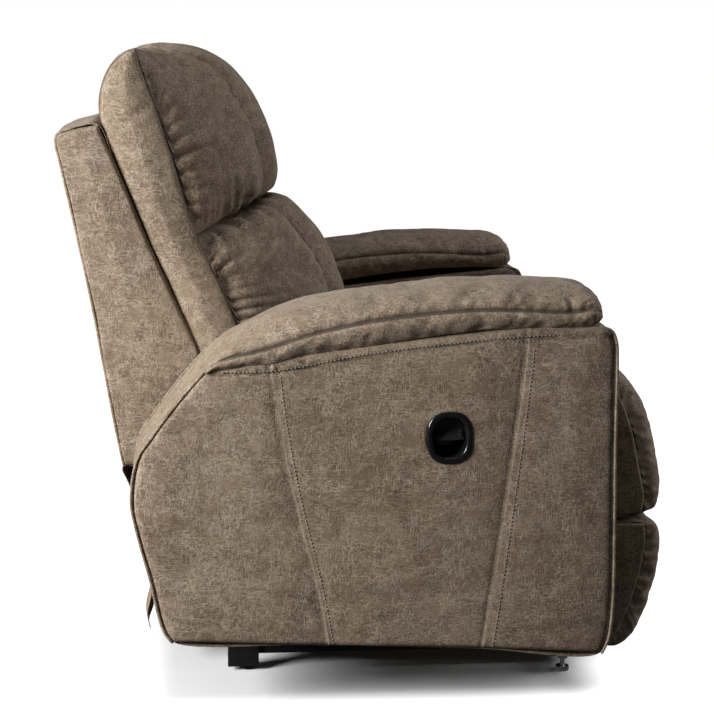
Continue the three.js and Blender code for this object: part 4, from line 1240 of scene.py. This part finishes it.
CUP_RIM = [
    (0.975, 3 * MM), (1.0, 0.4 * MM), (0.985, -2.2 * MM), (0.94, -3.9 * MM), (0.86, -4.4 * MM),
    (0.78, -3.9 * MM), (0.735, -2.2 * MM), (0.715, 1 * MM), (0.705, 6 * MM), (0.70, 18 * MM),
    (0.65, 32 * MM), (0.55, 40 * MM), (0.33, 42.5 * MM), (0.01, 43 * MM), (0.01, 45 * MM),
    (0.38, 45 * MM), (0.60, 42.5 * MM), (0.71, 34 * MM), (0.77, 18 * MM), (0.79, 6 * MM),
]
profile = smooth_line([*CUP_RIM, CUP_RIM[0]], 90)[:-1]
grid = oval_turned(profile)
number = np.arange(grid[..., 0].size).reshape(len(profile), -1)
number = np.vstack([number, number[:1]])
faces = quads(np.hstack([number, number[:, :1]]))
cup = piece("release_cup_moulding", grid.reshape(-1, 3), faces, plastic, "base")
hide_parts("release_cup")

FLAP_SHARE = 0.665
FLAP_FOOT = -0.10
FLAP_SET_BACK = 3 * MM
FLAP_DEPTH = 12 * MM
FLAP_BEND = 0.3
FLAP_BOW = 1.5 * MM
FLAP_THICKNESS = 3.2 * MM
across, top = oval(np.linspace(math.pi, 0, 44))
down = np.linspace(0, 1, 24)[:, None]
foot = cup_z + FLAP_FOOT * cup_rz - FLAP_BOW * (1 - across**2)
z = (cup_z + FLAP_SHARE * cup_rz * top) * (1 - down) + foot * down
x = cup_x + FLAP_SHARE * cup_rx * across + 0 * z
run = np.clip((down - FLAP_BEND) / (1 - FLAP_BEND), 0, 1)
deep = FLAP_DEPTH * (1 - run**2 * (3 - 2 * run))
y = cup_face + FLAP_SET_BACK + deep + FLAP_BOW * across**2 * run
front = np.stack([x, y, z], -1)
back = front + (0, FLAP_THICKNESS, 0)
number, hidden = two_sided(*z.shape)
points = np.concatenate([front.reshape(-1, 3), back[1:-1, 1:-1].reshape(-1, 3)])
faces = np.concatenate([quads(number), quads(hidden)[:, ::-1]])
flap = piece("release_flap", points, faces, grained, "release_lever")
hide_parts("release_lever")

# ==== Rear skirt ====================================================================================
# A flap of the same cloth hangs from the rear stretcher and closes the gap below the back.

SKIRT_LINE = outline((-398, 343), (-385, 313), (-366, 220), (-353, 138), (-360, 100), (-356, 75))
SKIRT_ROWS = 44
SKIRT_COLUMNS = 80
SKIRT_SWAY = 3.5 * MM
SKIRT_THICKNESS = 1.6 * MM
low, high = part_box("rear_skirt")
line = smooth_line(SKIRT_LINE, SKIRT_ROWS)
y = np.linspace(low.y, high.y, SKIRT_COLUMNS)
grid = np.stack([line[:, :1] + 0 * y, y + 0 * line[:, :1], line[:, 1:] + 0 * y], -1)
hang = np.linspace(0, 1, SKIRT_ROWS)[:, None]
grid[..., 0] += hang * SKIRT_SWAY * waves(grid[..., 1:2], 140 * MM, 131)
number = np.arange(grid[..., 0].size).reshape(SKIRT_ROWS, SKIRT_COLUMNS)
skirt = shape("rear_flap", grid.reshape(-1, 3), quads(number).tolist(), suede, "base")
thick = skirt.modifiers.new("thickness", "SOLIDIFY")
thick.thickness = SKIRT_THICKNESS
thick.offset = 0
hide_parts("rear_skirt")

# ==== Size ==========================================================================================

low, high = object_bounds()
